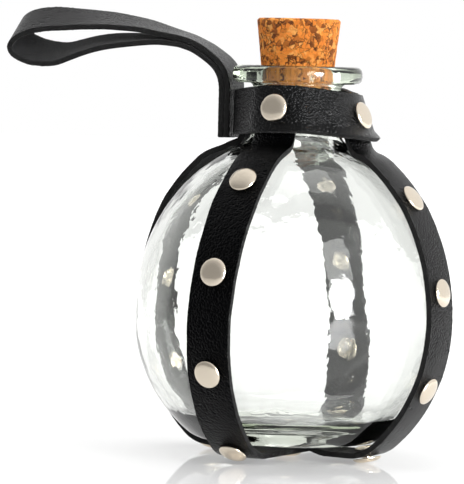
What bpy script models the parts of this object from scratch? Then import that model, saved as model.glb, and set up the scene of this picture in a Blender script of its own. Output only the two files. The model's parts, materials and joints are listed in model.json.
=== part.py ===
"""Potion bottle: a round glass flask in a riveted leather harness, with a cork and a belt loop.

Units are metres, +Z is up, and the origin lies on the flask's axis at the surface it stands on.
The belt loop points along -X. An azimuth is counted about +Z, from -Y towards +X.
"""

from math import atan2, ceil, cos, pi, radians, sin, sqrt

import bmesh
import bpy
from mathutils import Matrix, Vector

# Fits
CONTACT_GAP = 0.0003
HARNESS_PLAY = 0.0003
HOLE_CLEARANCE = 0.0003

# Leather
LEATHER = 0.0018
STRAP_WIDTH = 0.0150
STRAP_CROSS_CURVE = 0.150
STRAP_STEPS_ACROSS = 4
BASE_BEND = 0.0050
SHOULDER_BEND = 0.0019
HUG_START = radians(54)
HUG_END = radians(66)
SIDE_STEP = radians(6)
SIDE_START = radians(-75)
SIDE_END = radians(85)
NECK_TURN_START = radians(40)
ARCH_MARGIN = 0.0010
ARCH_RAMP = 0.0100

# Rivets
CAP_RADIUS = 0.0046
CAP_HEIGHT = 0.0015
CAP_RIM = 0.0004
CAP_CROWN = 0.0012
CAP_SHOULDER_SHARES = (0.72, 0.62)
POST_RADIUS = 0.0014
BACK_RADIUS = 0.0036
BACK_HEIGHT = 0.0013
BACK_RIM_SHARE = 0.4
BACK_CROWN_SHARE = 0.6
SIDE_RIVETS = 4
CAP_SIDES = 14
BACK_SIDES = 10
HOLE_SIDES = 10

# Flask
FLASK_RADIUS = 0.0518
WAIST_HEIGHT = 0.0410
LOWER_HALF = 0.0510
FLASK_HEIGHT = 0.1226
WALL = 0.0030
BASE_THICKNESS = 0.0090
PUNT_RADIUS = 0.0220
PUNT_DEPTH = 0.0042
HEEL_BEND = 0.0030
NECK_RADIUS = 0.0143
NECK_LENGTH = 0.0188
NECK_BEND = 0.0035
LIP_RADIUS = 0.0213
LIP_THICKNESS = 0.0058
LIP_BEND = 0.0014
BORE_RADIUS = 0.0115
FLASK_STEPS = 36
FLASK_PROFILE_STEP = radians(11)
PUNT_SHARES = (1.0, 0.75, 0.5, 0.25, 0.0)

# Cork
CORK_LENGTH = 0.0250
CORK_STANDING = 0.0154
CORK_TAPER_SHARE = 0.106
CORK_CLEARANCE = 0.0004
CORK_EDGE = 0.0006
CORK_SIDES = 32

# Collar
COLLAR_HEIGHT = 0.0149
COLLAR_LIP_GAP = 0.0005
COLLAR_SAG = 0.0021
COLLAR_FLARE = 0.0014
COLLAR_HIGH_AZIMUTH = radians(14)
COLLAR_SLACK_TOP = 0.0011
COLLAR_SLACK_BOTTOM = 0.0062
COLLAR_OVERLAP = radians(24)
COLLAR_RAMP = radians(55)
RAMP_OVERRUN_SHARE = 1.1
COLLAR_STEPS = 72
COLLAR_FLARE_SHARE = 0.17
COLLAR_ROW_SHARES = (0.0, COLLAR_FLARE_SHARE, 1.0)
STRAP_END_SHARE = 0.90

# Belt loop
LOOP_LEATHER = 0.0018
LOOP_WIDTH = 0.0150
LOOP_REACH = 0.0787
LOOP_RISE = 0.0229
LOOP_ROLL = radians(36)
LOOP_ROLL_START_SHARE = 0.15
LOOP_TAIL = 0.0012
LOOP_STEPS_ACROSS = 2
SPINE_STEP_SHARE = 1.3
EYE_STEP_SHARE = 2.0
KNUCKLE_SIDES = 24

# Each leg: the long strap it belongs to, its azimuth at the base and at the collar
LEGS = {
    "front": ("long_strap_front_back", radians(-12), radians(-0.5)),
    "back": ("long_strap_front_back", radians(167), radians(181)),
    "right": ("long_strap_left_right", radians(77), radians(80.5)),
    "left": ("long_strap_left_right", radians(-104.5), radians(-90)),
}

# How late and how early each leg does most of its turning on its way up, 1 being evenly
TURN_LAGS = {"front": 1.6, "back": 1, "right": 1, "left": 2}
TURN_LEADS = {"front": 1, "back": 3, "right": 1, "left": 1}
UPPER_STRAP = "long_strap_left_right"
SEAM_LEG = "back"
LOOP_LEG = "left"

# Along each long strap: from the middle of the base to the first rivet, and from the last side
# rivet to the collar's, measured on the leg that the holes were spaced on
FIRST_RIVET = {"long_strap_front_back": 0.0355, "long_strap_left_right": 0.0303}
TOP_RIVET_DROP = {"long_strap_front_back": 0.0320, "long_strap_left_right": 0.0343}
SPACING_LEG = {"long_strap_front_back": "front", "long_strap_left_right": "right"}

# Where the upper strap climbs over the lower one, as shares of the ramp
ARCH_SHARES = (0, 0.25, 0.5, 0.75, 1)

# The doubled part of the belt loop, as shares of its reach and rise above the collar
SPINE_SHARES = [(0, 0), (0.005, 0.124), (0.017, 0.236), (0.038, 0.338), (0.069, 0.431),
                (0.134, 0.573), (0.203, 0.669)]
HINGE_SPINE_SHARE = 0.46

# The open eye of the belt loop, out along the top strand and back along the bottom one
EYE_SHARES = [(0.297, 0.790), (0.389, 0.866), (0.481, 0.908), (0.573, 0.936), (0.757, 0.945),
              (0.826, 0.940), (0.894, 0.910), (0.951, 0.838), (0.985, 0.715), (0.972, 0.600),
              (0.930, 0.515), (0.871, 0.450), (0.777, 0.432), (0.707, 0.498), (0.639, 0.570),
              (0.570, 0.622), (0.502, 0.650), (0.433, 0.665), (0.365, 0.674), (0.297, 0.671)]

# A bend takes the place of the points this far from its corner, as a share of its reach
BEND_CLEAR_SHARE = 1.2

# Sizes that follow from the ones above
FOOT_HEIGHT = CAP_HEIGHT + CONTACT_GAP
STRAP_OFFSET = LEATHER + BACK_HEIGHT + 2 * CONTACT_GAP + HARNESS_PLAY
FLASK_BOTTOM = FOOT_HEIGHT + STRAP_OFFSET
WAIST_Z = FLASK_BOTTOM + WAIST_HEIGHT
LIP_TOP = FLASK_BOTTOM + FLASK_HEIGHT
LIP_UNDERSIDE = LIP_TOP - LIP_THICKNESS
UPPER_HALF = (LIP_UNDERSIDE - NECK_LENGTH - WAIST_Z) / sqrt(1 - (NECK_RADIUS / FLASK_RADIUS) ** 2)
SHOULDER_OFFSET = LEATHER + CONTACT_GAP + HARNESS_PLAY
CORK_BOTTOM = LIP_TOP + CORK_STANDING - CORK_LENGTH
CORK_BOTTOM_RADIUS = BORE_RADIUS - CORK_CLEARANCE
HOLE_RADIUS = POST_RADIUS + HOLE_CLEARANCE
PLY = LEATHER + CONTACT_GAP
LOOP_PLY = LOOP_LEATHER + CONTACT_GAP


def clear_scene():
    """Remove every object of the scene."""
    for old in list(bpy.data.objects):
        bpy.data.objects.remove(old, do_unlink=True)


def make_material(name, colour, roughness, metallic=0.0, alpha=1.0):
    """A plain Principled material."""
    material = bpy.data.materials.new(name)
    material.use_nodes = True
    shader = material.node_tree.nodes["Principled BSDF"]
    shader.inputs["Base Color"].default_value = (*colour, 1.0)
    shader.inputs["Roughness"].default_value = roughness
    shader.inputs["Metallic"].default_value = metallic
    shader.inputs["Alpha"].default_value = alpha
    return material


def add_object(name, mesh, material=None):
    """Link a mesh to the scene as one named object."""
    made = bpy.data.objects.new(name, mesh)
    bpy.context.scene.collection.objects.link(made)
    if material:
        mesh.materials.append(material)
    return made


def mesh_from(name, bm):
    """Turn a bmesh into a mesh with smooth round faces."""
    mesh = bpy.data.meshes.new(name)
    bm.to_mesh(mesh)
    bm.free()
    mesh.shade_smooth()
    mesh.set_sharp_from_angle(angle=radians(40))
    return mesh


def facing(azimuth):
    """The level direction that an azimuth names."""
    return Vector((sin(azimuth), -cos(azimuth), 0))


# Lines drawn through points

def lengths_along(points):
    """Distance of each point from the first, along the line through them."""
    total = [0.0]
    for first, second in zip(points, points[1:]):
        total.append(total[-1] + (second - first).length)
    return total


def point_along(points, distance):
    """The point at a distance along the line through the points."""
    total = lengths_along(points)
    for index in range(len(points) - 1):
        if distance <= total[index + 1]:
            span = total[index + 1] - total[index]
            return points[index].lerp(points[index + 1], (distance - total[index]) / span)
    return points[-1].copy()


def round_corner(points, corner, reach, steps):
    """Replace one corner of a line with a smooth bend that starts and ends a reach away."""
    total = lengths_along(points)
    middle = total[corner]
    start = point_along(points, middle - reach)
    end = point_along(points, middle + reach)
    clear = reach * BEND_CLEAR_SHARE
    before = [p for p, s in zip(points, total) if s < middle - clear]
    after = [p for p, s in zip(points, total) if s > middle + clear]
    bend = []
    for step in range(steps + 1):
        share = step / steps
        bend.append(start.lerp(points[corner], share).lerp(points[corner].lerp(end, share), share))
    return before + bend + after


def smooth_through(points, spacing):
    """A smooth line through the points, with a point about every spacing."""
    padded = [2 * points[0] - points[1]] + points + [2 * points[-1] - points[-2]]
    line = []
    for p0, p1, p2, p3 in zip(padded, padded[1:], padded[2:], padded[3:]):
        steps = max(1, ceil((p2 - p1).length / spacing))
        for step in range(steps):
            t = step / steps
            line.append(0.5 * (2 * p1 + (p2 - p0) * t + (2 * p0 - 5 * p1 + 4 * p2 - p3) * t * t
                               + (3 * p1 - p0 - 3 * p2 + p3) * t * t * t))
    return line + [points[-1].copy()]


def directions_along(points):
    """Unit direction of travel at each point."""
    ahead = points[1:] + points[-1:]
    behind = points[:1] + points[:-1]
    return [(b - a).normalized() for a, b in zip(behind, ahead)]


# The flask's outline, in a plane with the radius across and the height up

def flask_point(angle, offset=0.0):
    """A point of the flask's body, moved out square to its surface by the offset."""
    half = UPPER_HALF if angle > 0 else LOWER_HALF
    square = Vector((cos(angle) / FLASK_RADIUS, sin(angle) / half)).normalized()
    return Vector((FLASK_RADIUS * cos(angle), WAIST_Z + half * sin(angle))) + offset * square


def strap_offset(angle):
    """The outer face's distance from the glass: above the top rivets the leather hugs the shoulder."""
    share = min(1, max(0, (angle - HUG_START) / (HUG_END - HUG_START)))
    ease = share * share * (3 - 2 * share)
    return STRAP_OFFSET + (SHOULDER_OFFSET - STRAP_OFFSET) * ease


def body_angle_at_radius(radius, shell_radius):
    """Angle on an upper shell whose half width is given, where it has this radius."""
    return atan2(sqrt(1 - (radius / shell_radius) ** 2), radius / shell_radius)


def angles_between(low, high, step):
    """Evenly spaced angles from low to high."""
    count = max(2, ceil((high - low) / step))
    return [low + (high - low) * index / count for index in range(count + 1)]


def flask_profile():
    """The flask's section, from the middle of its inside floor up, over the lip and down outside."""
    step = FLASK_PROFILE_STEP
    # Inside
    inner_radius = FLASK_RADIUS - WALL
    inner_upper = UPPER_HALF - WALL
    inner_lower = LOWER_HALF - WALL
    floor = FLASK_BOTTOM + BASE_THICKNESS
    floor_angle = -atan2(WAIST_Z - floor, sqrt(inner_lower ** 2 - (WAIST_Z - floor) ** 2))
    bore_angle = body_angle_at_radius(BORE_RADIUS, inner_radius)
    inside = [Vector((0, floor))]
    floor_corner = len(inside)
    for angle in angles_between(floor_angle, bore_angle, step):
        half = inner_upper if angle > 0 else inner_lower
        inside.append(Vector((inner_radius * cos(angle), WAIST_Z + half * sin(angle))))
    bore_corner = len(inside) - 1
    inside.append(Vector((BORE_RADIUS, CORK_BOTTOM)))
    inside.append(Vector((cork_radius(LIP_TOP) + CORK_CLEARANCE, LIP_TOP)))
    mouth_corner = len(inside) - 1
    # Outside
    outside = [Vector((LIP_RADIUS, LIP_TOP)), Vector((LIP_RADIUS, LIP_UNDERSIDE)),
               Vector((NECK_RADIUS, LIP_UNDERSIDE))]
    neck_angle = body_angle_at_radius(NECK_RADIUS, FLASK_RADIUS)
    heel_angle = -atan2(WAIST_HEIGHT, sqrt(LOWER_HALF ** 2 - WAIST_HEIGHT ** 2))
    neck_corner = len(outside)
    outside += [flask_point(angle) for angle in reversed(angles_between(heel_angle, neck_angle, step))]
    heel_corner = len(outside) - 1
    for share in PUNT_SHARES:
        rise = PUNT_DEPTH * (1 - share ** 2)
        outside.append(Vector((PUNT_RADIUS * share, FLASK_BOTTOM + rise)))
    # The corners are rounded from the last to the first, so that their numbers stay right
    profile = inside + outside
    shift = len(inside)
    corners = [(shift + heel_corner, HEEL_BEND, 2), (shift + neck_corner, NECK_BEND, 3),
               (shift + 2, LIP_BEND, 1), (shift + 1, LIP_BEND, 2), (shift, LIP_BEND, 2),
               (mouth_corner, LIP_BEND / 2, 1), (bore_corner, NECK_BEND, 2), (floor_corner, HEEL_BEND, 1)]
    for corner, reach, steps in corners:
        profile = round_corner(profile, corner, reach, steps)
    return profile


def cork_radius(height):
    """The cork's radius at a height above the ground."""
    return CORK_BOTTOM_RADIUS + CORK_TAPER_SHARE * (height - CORK_BOTTOM)


def build_flask(material):
    """Turn the flask from its section with a Screw modifier."""
    bm = bmesh.new()
    points = [bm.verts.new((p.x, 0, p.y)) for p in flask_profile()]
    for first, second in zip(points, points[1:]):
        bm.edges.new((first, second))
    flask = add_object("glass_flask", mesh_from("glass_flask", bm), material)
    turn = flask.modifiers.new("Turn", "SCREW")
    turn.axis = "Z"
    turn.angle = 2 * pi
    turn.steps = FLASK_STEPS
    turn.render_steps = FLASK_STEPS
    turn.use_smooth_shade = True
    turn.use_merge_vertices = True
    turn.merge_threshold = 0.00001
    return flask


def build_cork(material):
    """The tapered cork, standing in the mouth."""
    bm = bmesh.new()
    top_radius = cork_radius(CORK_BOTTOM + CORK_LENGTH)
    bmesh.ops.create_cone(bm, cap_ends=True, segments=CORK_SIDES, radius1=CORK_BOTTOM_RADIUS,
                          radius2=top_radius, depth=CORK_LENGTH)
    rims = [e for e in bm.edges if any(len(f.verts) > 4 for f in e.link_faces)]
    bmesh.ops.bevel(bm, geom=rims, offset=CORK_EDGE, segments=1, affect="EDGES")
    cork = add_object("cork_stopper", mesh_from("cork_stopper", bm), material)
    cork.location = (0, 0, CORK_BOTTOM + CORK_LENGTH / 2)
    return cork


# The collar, a tilted and slightly eccentric cone of leather

def collar_shift(share):
    """How far the collar's middle lies from the flask's axis, along +X."""
    return (COLLAR_SLACK_BOTTOM + (COLLAR_SLACK_TOP - COLLAR_SLACK_BOTTOM) * share) / 2


def collar_radius(azimuth, share):
    """Outer radius of the collar without its flare: its play is all on the right."""
    shift = collar_shift(share)
    radius = snug_radius() + shift
    return shift * sin(azimuth) + sqrt(radius ** 2 - (shift * cos(azimuth)) ** 2)


def collar_rise(azimuth):
    """The height that the strip's width takes up where it leans."""
    lean = collar_radius(azimuth, 0) - collar_radius(azimuth, 1)
    return sqrt(COLLAR_HEIGHT ** 2 - lean ** 2)


def collar_low(azimuth):
    """The height of the collar's lower edge, which sags to both sides of its highest point."""
    turn = azimuth - COLLAR_HIGH_AZIMUTH
    high = LIP_UNDERSIDE - COLLAR_LIP_GAP - collar_rise(COLLAR_HIGH_AZIMUTH)
    return high - COLLAR_SAG * sin(turn) ** 2


def collar_edge(azimuth, share, flare=COLLAR_FLARE):
    """Radius and height of the collar's outer face, at a share of its width."""
    reach = collar_radius(azimuth, share) + flare * max(0, 1 - share / COLLAR_FLARE_SHARE)
    return Vector((reach, collar_low(azimuth) + collar_rise(azimuth) * share))


def snug_radius():
    """Outer radius of the collar where it presses the strap and its rivet against the neck."""
    seat = curved_seat(NECK_RADIUS + BACK_HEIGHT)
    return NECK_RADIUS + CONTACT_GAP + BACK_HEIGHT + seat + CONTACT_GAP + PLY + LEATHER


def curved_seat(radius):
    """How far a flat rivet back must stand off the hollow side of curved leather."""
    return radius - sqrt(radius ** 2 - BACK_RADIUS ** 2)


def collar_normal_azimuth(point):
    """The azimuth that the collar faces at a point under it."""
    azimuth = atan2(point.x, -point.y)
    share = (point.z - collar_low(azimuth)) / collar_rise(azimuth)
    return atan2(point.x - collar_shift(min(1, max(0, share))), -point.y)


def collar_ramp(turned, full_turn):
    """How far the collar's outer end has climbed over its inner end."""
    run = (turned - (full_turn - COLLAR_RAMP)) / COLLAR_RAMP
    climb = min(1, max(0, run * RAMP_OVERRUN_SHARE))
    return PLY * climb * climb * (3 - 2 * climb)


def build_collar(material, seats):
    """Wrap the collar round the neck, its ends overlapping at the back leg's rivet."""
    start = LEGS[SEAM_LEG][2] - COLLAR_OVERLAP
    sweep = 2 * pi + 2 * COLLAR_OVERLAP
    bm = bmesh.new()
    rows = []
    for step in range(COLLAR_STEPS + 1):
        turned = sweep * step / COLLAR_STEPS
        azimuth = start + turned
        climb = collar_ramp(turned, 2 * pi)
        flat = collar_edge(azimuth, 1) - collar_edge(azimuth, 0, 0)
        square = Vector((flat.y, -flat.x)).normalized() * climb
        row = []
        for share in COLLAR_ROW_SHARES:
            place = collar_edge(azimuth, share) + square
            row.append(bm.verts.new(place.x * facing(azimuth) + Vector((0, 0, place.y))))
        rows.append(row)
    for first, second in zip(rows, rows[1:]):
        for low in range(len(COLLAR_ROW_SHARES) - 1):
            bm.faces.new((first[low], second[low], second[low + 1], first[low + 1]))
    collar = add_object("leather_collar", mesh_from("leather_collar", bm), material)
    thicken(collar, LEATHER, -1)
    cut(collar, post_cutter("leather_collar_cutter", seats))
    return collar


# The straps

class Leg:
    """One leg of a long strap: a line on its outer face from the middle of the base to its end."""

    def __init__(self, name):
        self.name = name
        self.strap, self.base_azimuth, self.top_azimuth = LEGS[name]
        self.flat = self.outline()
        self.total = lengths_along(self.flat)
        self.points = [self.place(p, s) for p, s in zip(self.flat, self.total)]
        self.normals = self.outward()

    def neck_line(self, share):
        """The strap's outer face under the collar, at a share of the collar's height."""
        low = collar_edge(self.top_azimuth, 0, 0)
        high = collar_edge(self.top_azimuth, 1)
        flat = (high - low).normalized()
        inward = Vector((-flat.y, flat.x))
        return low.lerp(high, share) + PLY * inward

    def outline(self):
        """The leg's line, with the radius across and the height up."""
        line = [Vector((0, FOOT_HEIGHT))]
        if self.strap == UPPER_STRAP:
            flat_half = STRAP_WIDTH / 2 + ARCH_MARGIN
            line = [Vector((0, FOOT_HEIGHT + PLY))]
            for share in ARCH_SHARES:
                ease = share * share * (3 - 2 * share)
                line.append(Vector((flat_half + ARCH_RAMP * share, FOOT_HEIGHT + PLY * (1 - ease))))
        angles = angles_between(SIDE_START, SIDE_END, SIDE_STEP)
        side = [flask_point(angle, strap_offset(angle)) for angle in angles]
        low = next(index for index, p in enumerate(side) if p.y > FOOT_HEIGHT)
        drop = (side[low].y - FOOT_HEIGHT) / (side[low].y - side[low - 1].y)
        base_corner = len(line)
        line.append(side[low].lerp(side[low - 1], drop))
        foot, top = self.neck_line(0), self.neck_line(1)
        inward = Vector((-(top - foot).y, (top - foot).x)).normalized()
        depth = [(p - foot).dot(inward) for p in side]
        high = next(i for i in range(low, len(side)) if side[i].y > WAIST_Z and depth[i] > 0)
        line += side[low:high]
        shoulder = len(line)
        share = depth[high - 1] / (depth[high - 1] - depth[high])
        line.append(side[high - 1].lerp(side[high], share))
        line += [self.neck_line(0.5), self.neck_line(STRAP_END_SHARE)]
        self.collar_point = self.neck_line(0.5)
        line = round_corner(line, shoulder, SHOULDER_BEND, 4)
        return round_corner(line, base_corner, BASE_BEND, 4)

    def azimuth(self, distance):
        """The leg's azimuth at a distance along it: it turns on its way over the glass."""
        collar = self.collar_distance()
        above = FOOT_HEIGHT + STRAP_OFFSET / 2
        start = next(s for p, s in zip(self.flat, self.total) if p.y > above and s > FLASK_RADIUS / 2)
        steps = 60
        drift = []
        for upper in (distance, collar):
            span = max(0.0, min(upper, collar) - start) / steps
            middles = [start + span * (i + 0.5) for i in range(steps)]
            drift.append(sum(span / point_along(self.flat, middle).x for middle in middles))
        late = (drift[0] / drift[1]) ** TURN_LAGS[self.name]
        turned = 1 - (1 - late) ** TURN_LEADS[self.name]
        return self.base_azimuth + (self.top_azimuth - self.base_azimuth) * turned

    def collar_distance(self):
        """Distance along the leg of its rivet through the collar."""
        nearest = min(range(len(self.flat)), key=lambda i: (self.flat[i] - self.collar_point).length)
        return self.total[nearest]

    def place(self, flat_point, distance):
        """The point in space of a point of the outline."""
        return flat_point.x * facing(self.azimuth(distance)) + Vector((0, 0, flat_point.y))

    def neck_share(self, index):
        """0 on the flask's body, 1 under the collar."""
        low = WAIST_Z + UPPER_HALF * sin(NECK_TURN_START)
        high = collar_edge(self.top_azimuth, 0).y
        return min(1, max(0, (self.flat[index].y - low) / (high - low)))

    def outward(self):
        """The direction that the outer face looks in at each point."""
        made = []
        for index, direction in enumerate(directions_along(self.flat)):
            point = self.points[index]
            azimuth = self.azimuth(self.total[index])
            share = self.neck_share(index)
            turn = collar_normal_azimuth(point) - azimuth
            turned = azimuth + share * atan2(sin(turn), cos(turn))
            made.append((direction.y * facing(turned) - direction.x * Vector((0, 0, 1))).normalized())
        return made

    def seat(self, distance):
        """Place and outward direction of the outer face at a distance along the leg."""
        nearest = next(i for i in range(len(self.total) - 1) if self.total[i + 1] >= distance)
        span = self.total[nearest + 1] - self.total[nearest]
        share = (distance - self.total[nearest]) / span
        point = self.points[nearest].lerp(self.points[nearest + 1], share)
        return point, self.normals[nearest].lerp(self.normals[nearest + 1], share).normalized()

    def hollow(self, distance):
        """How far the inner face rises round a rivet back seated at a distance along the leg."""
        point, normal = self.seat(distance)
        rise = 0
        for share in (-1, 1):
            near, square = self.seat(distance + share * BACK_RADIUS)
            rise = max(rise, (point - near).dot(normal) - LEATHER * (1 - square.dot(normal)))
        return rise


def rivet_spacing(leg):
    """Even spacing of the side rivets between the first one and the one below the collar."""
    span = leg.collar_distance() - TOP_RIVET_DROP[leg.strap] - FIRST_RIVET[leg.strap]
    return span / (SIDE_RIVETS - 1)


def sheet(name, rows):
    """A sheet of leather through rows of points, facing out."""
    bm = bmesh.new()
    made = [[bm.verts.new(point) for point in row] for row in rows]
    for first, second in zip(made, made[1:]):
        for low in range(len(first) - 1):
            bm.faces.new((first[low], first[low + 1], second[low + 1], second[low]))
    return mesh_from(name, bm)


def thicken(target, thickness, side):
    """Give a sheet its thickness, keeping it even round bends."""
    solid = target.modifiers.new("Thickness", "SOLIDIFY")
    solid.thickness = thickness
    solid.offset = side
    solid.use_even_offset = True


def cut(target, cutter):
    """Cut a shape out of an object."""
    hole = target.modifiers.new("Cut", "BOOLEAN")
    hole.operation = "DIFFERENCE"
    hole.solver = "EXACT"
    hole.object = cutter


def as_cutter(made):
    """Mark an object as a guide that the build leaves out."""
    made.hide_render = True
    made.display_type = "WIRE"
    return made


def pointing(direction):
    """A rotation that turns +Z to a direction."""
    return direction.to_track_quat("Z", "Y").to_matrix().to_4x4()


def post_cutter(name, seats):
    """Round cutters through the leather at each seat."""
    bm = bmesh.new()
    depth = 2 * (2 * PLY + 2 * LOOP_PLY + PLY)
    for point, normal in seats:
        matrix = Matrix.Translation(point) @ pointing(normal)
        bmesh.ops.create_cone(bm, cap_ends=True, segments=HOLE_SIDES, radius1=HOLE_RADIUS,
                              radius2=HOLE_RADIUS, depth=depth, matrix=matrix)
    return as_cutter(add_object(name, mesh_from(name, bm)))


def strap_rows(first_leg, second_leg):
    """Rows of points across a long strap, from the end of one leg to the end of the other."""
    points = list(reversed(first_leg.points[1:])) + second_leg.points
    normals = list(reversed(first_leg.normals[1:])) + second_leg.normals
    shares = [first_leg.neck_share(i) for i in range(len(first_leg.points) - 1, 0, -1)]
    shares += [second_leg.neck_share(i) for i in range(len(second_leg.points))]
    rows = []
    for point, normal, direction, share in zip(points, normals, directions_along(points), shares):
        across = direction.cross(normal).normalized()
        out = across.cross(direction).normalized()
        neck_bend = NECK_RADIUS + BACK_HEIGHT + PLY + LEATHER
        level = Vector((normal.x, normal.y)).length
        bend = 1 / ((1 - share) / STRAP_CROSS_CURVE + share * level / neck_bend)
        row = []
        for step in range(STRAP_STEPS_ACROSS + 1):
            turn = STRAP_WIDTH * (step / STRAP_STEPS_ACROSS - 0.5) / bend
            row.append(point + bend * sin(turn) * across - bend * (1 - cos(turn)) * out)
        rows.append(row)
    return rows


def build_strap(name, legs, seats, material):
    """One long strap that runs from the collar, under the base, and up to the collar again."""
    mesh = sheet(name, strap_rows(*legs))
    strap = add_object(name, mesh, material)
    thicken(strap, LEATHER, -1)
    cut(strap, post_cutter(name + "_cutter", seats))
    return strap


# The rivets

def turned_mesh(name, outline, sides):
    """A closed round mesh from an outline that starts and ends on the axis, given top down."""
    bm = bmesh.new()
    rings = []
    for radius, height in outline:
        spokes = [radius * facing(2 * pi * i / sides) for i in range(sides if radius else 1)]
        rings.append([bm.verts.new(spoke + Vector((0, 0, height))) for spoke in spokes])
    for upper, lower in zip(rings, rings[1:]):
        for i in range(sides):
            j = (i + 1) % sides
            if len(upper) == 1:
                bm.faces.new((upper[0], lower[i], lower[j]))
            elif len(lower) == 1:
                bm.faces.new((upper[i], lower[0], upper[j]))
            else:
                bm.faces.new((upper[i], lower[i], lower[j], upper[j]))
    return mesh_from(name, bm)


def add_rivet(label, point, normal, stack, seat_drop, material):
    """A domed cap with its post, and the smaller cap that closes the far side of the leather."""
    post = stack + CONTACT_GAP + seat_drop
    shoulder_out, shoulder_up = CAP_SHOULDER_SHARES
    shoulder = CAP_RIM + (CAP_HEIGHT - CAP_RIM) * shoulder_up
    cap_outline = [(0, CAP_HEIGHT), (CAP_CROWN, CAP_HEIGHT), (CAP_RADIUS * shoulder_out, shoulder),
                   (CAP_RADIUS, CAP_RIM), (CAP_RADIUS, 0),
                   (POST_RADIUS, 0), (POST_RADIUS, -post), (0, -post)]
    cap_name = "rivet_cap_" + label
    cap = add_object(cap_name, turned_mesh(cap_name, cap_outline, CAP_SIDES), material)
    cap.matrix_world = Matrix.Translation(point + CONTACT_GAP * normal) @ pointing(normal)
    back_outline = [(0, 0), (BACK_RADIUS, 0), (BACK_RADIUS, -BACK_HEIGHT * BACK_RIM_SHARE),
                    (BACK_RADIUS * BACK_CROWN_SHARE, -BACK_HEIGHT), (0, -BACK_HEIGHT)]
    back_name = "rivet_back_" + label
    back = add_object(back_name, turned_mesh(back_name, back_outline, BACK_SIDES), material)
    inner = point - (stack + CONTACT_GAP + seat_drop) * normal
    back.matrix_world = Matrix.Translation(inner) @ pointing(normal)


# The belt loop, in a plane with the distance from the axis across and the height up

def loop_point(share_out, share_up):
    """A point of the belt loop's middle line, from shares of its reach and rise."""
    foot = loop_foot(1)
    return foot + Vector((LOOP_REACH * share_out, LOOP_RISE * share_up))


def loop_foot(share):
    """The middle of the doubled loop leather where it lies on the collar."""
    azimuth = LEGS[LOOP_LEG][2]
    flat = collar_edge(azimuth, 1) - collar_edge(azimuth, 0, 0)
    outward = Vector((flat.y, -flat.x)).normalized()
    return collar_edge(azimuth, share) + (LOOP_PLY + CONTACT_GAP / 2) * outward


def shifted(points, offset):
    """A line moved sideways, to the left of its direction of travel."""
    return [p + offset * Vector((-d.y, d.x)) for p, d in zip(points, directions_along(points))]


def loop_width_direction(point):
    """The loop's leather rolls towards the viewer as it runs out."""
    share = (point.x - loop_foot(1).x) / LOOP_REACH
    roll = LOOP_ROLL * max(0, share - LOOP_ROLL_START_SHARE) / (1 - LOOP_ROLL_START_SHARE)
    return Vector((0, cos(roll), sin(roll)))


def loop_sheet(name, line, material):
    """A strip of the belt loop along a line of its middle."""
    rows = []
    for point in line:
        across = loop_width_direction(point)
        middle = Vector((-point.x, 0, point.y))
        steps = range(LOOP_STEPS_ACROSS + 1)
        rows.append([middle + LOOP_WIDTH * (i / LOOP_STEPS_ACROSS - 0.5) * across for i in steps])
    made = add_object(name, sheet(name, rows), material)
    thicken(made, LOOP_LEATHER, 0)
    return made


def spine_line():
    """The doubled leather's middle, from the collar's lower edge to where the strands part."""
    tail = loop_foot(0) + LOOP_TAIL * (loop_foot(0) - loop_foot(COLLAR_FLARE_SHARE)).normalized()
    step = LOOP_LEATHER * SPINE_STEP_SHARE
    free = smooth_through([loop_point(*shares) for shares in SPINE_SHARES], step)
    return [tail, loop_foot(COLLAR_FLARE_SHARE)] + free


def loop_hinge():
    """Where the free part of the loop bends: its place on the spine and the direction of travel there."""
    free = spine_line()
    total = lengths_along(free)
    start = total[2]
    distance = start + HINGE_SPINE_SHARE * (total[-1] - start)
    ahead = point_along(free, distance + LOOP_LEATHER)
    behind = point_along(free, distance - LOOP_LEATHER)
    return point_along(free, distance), (ahead - behind).normalized(), distance


def knuckle_cutter(name, place, direction, below):
    """Cutter for the rounded bend line: a full round, or all that lies below a half round."""
    radius = LOOP_PLY
    reach = 3 * LOOP_PLY
    side = Vector((-direction.y, direction.x))
    outline = []
    if below:
        for step in range(KNUCKLE_SIDES // 2 + 1):
            turn = 2 * pi * step / KNUCKLE_SIDES
            outline.append(place - radius * sin(turn) * direction + radius * cos(turn) * side)
        outline.append(place - reach * side)
        outline.append(place - reach * side - reach * direction)
        outline.append(place + reach * side - reach * direction)
        outline.append(place + reach * side)
    else:
        for step in range(KNUCKLE_SIDES):
            turn = 2 * pi * step / KNUCKLE_SIDES
            arm = (radius + CONTACT_GAP) * (cos(turn) * side - sin(turn) * direction)
            outline.append(place + arm)
    bm = bmesh.new()
    front = [bm.verts.new((-p.x, -LOOP_WIDTH, p.y)) for p in outline]
    face = bm.faces.new(front)
    pushed = bmesh.ops.extrude_face_region(bm, geom=[face])["geom"]
    moved = [v for v in pushed if isinstance(v, bmesh.types.BMVert)]
    bmesh.ops.translate(bm, verts=moved, vec=(0, 2 * LOOP_WIDTH, 0))
    bmesh.ops.recalc_face_normals(bm, faces=bm.faces)
    return as_cutter(add_object(name, mesh_from(name, bm)))


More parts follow.
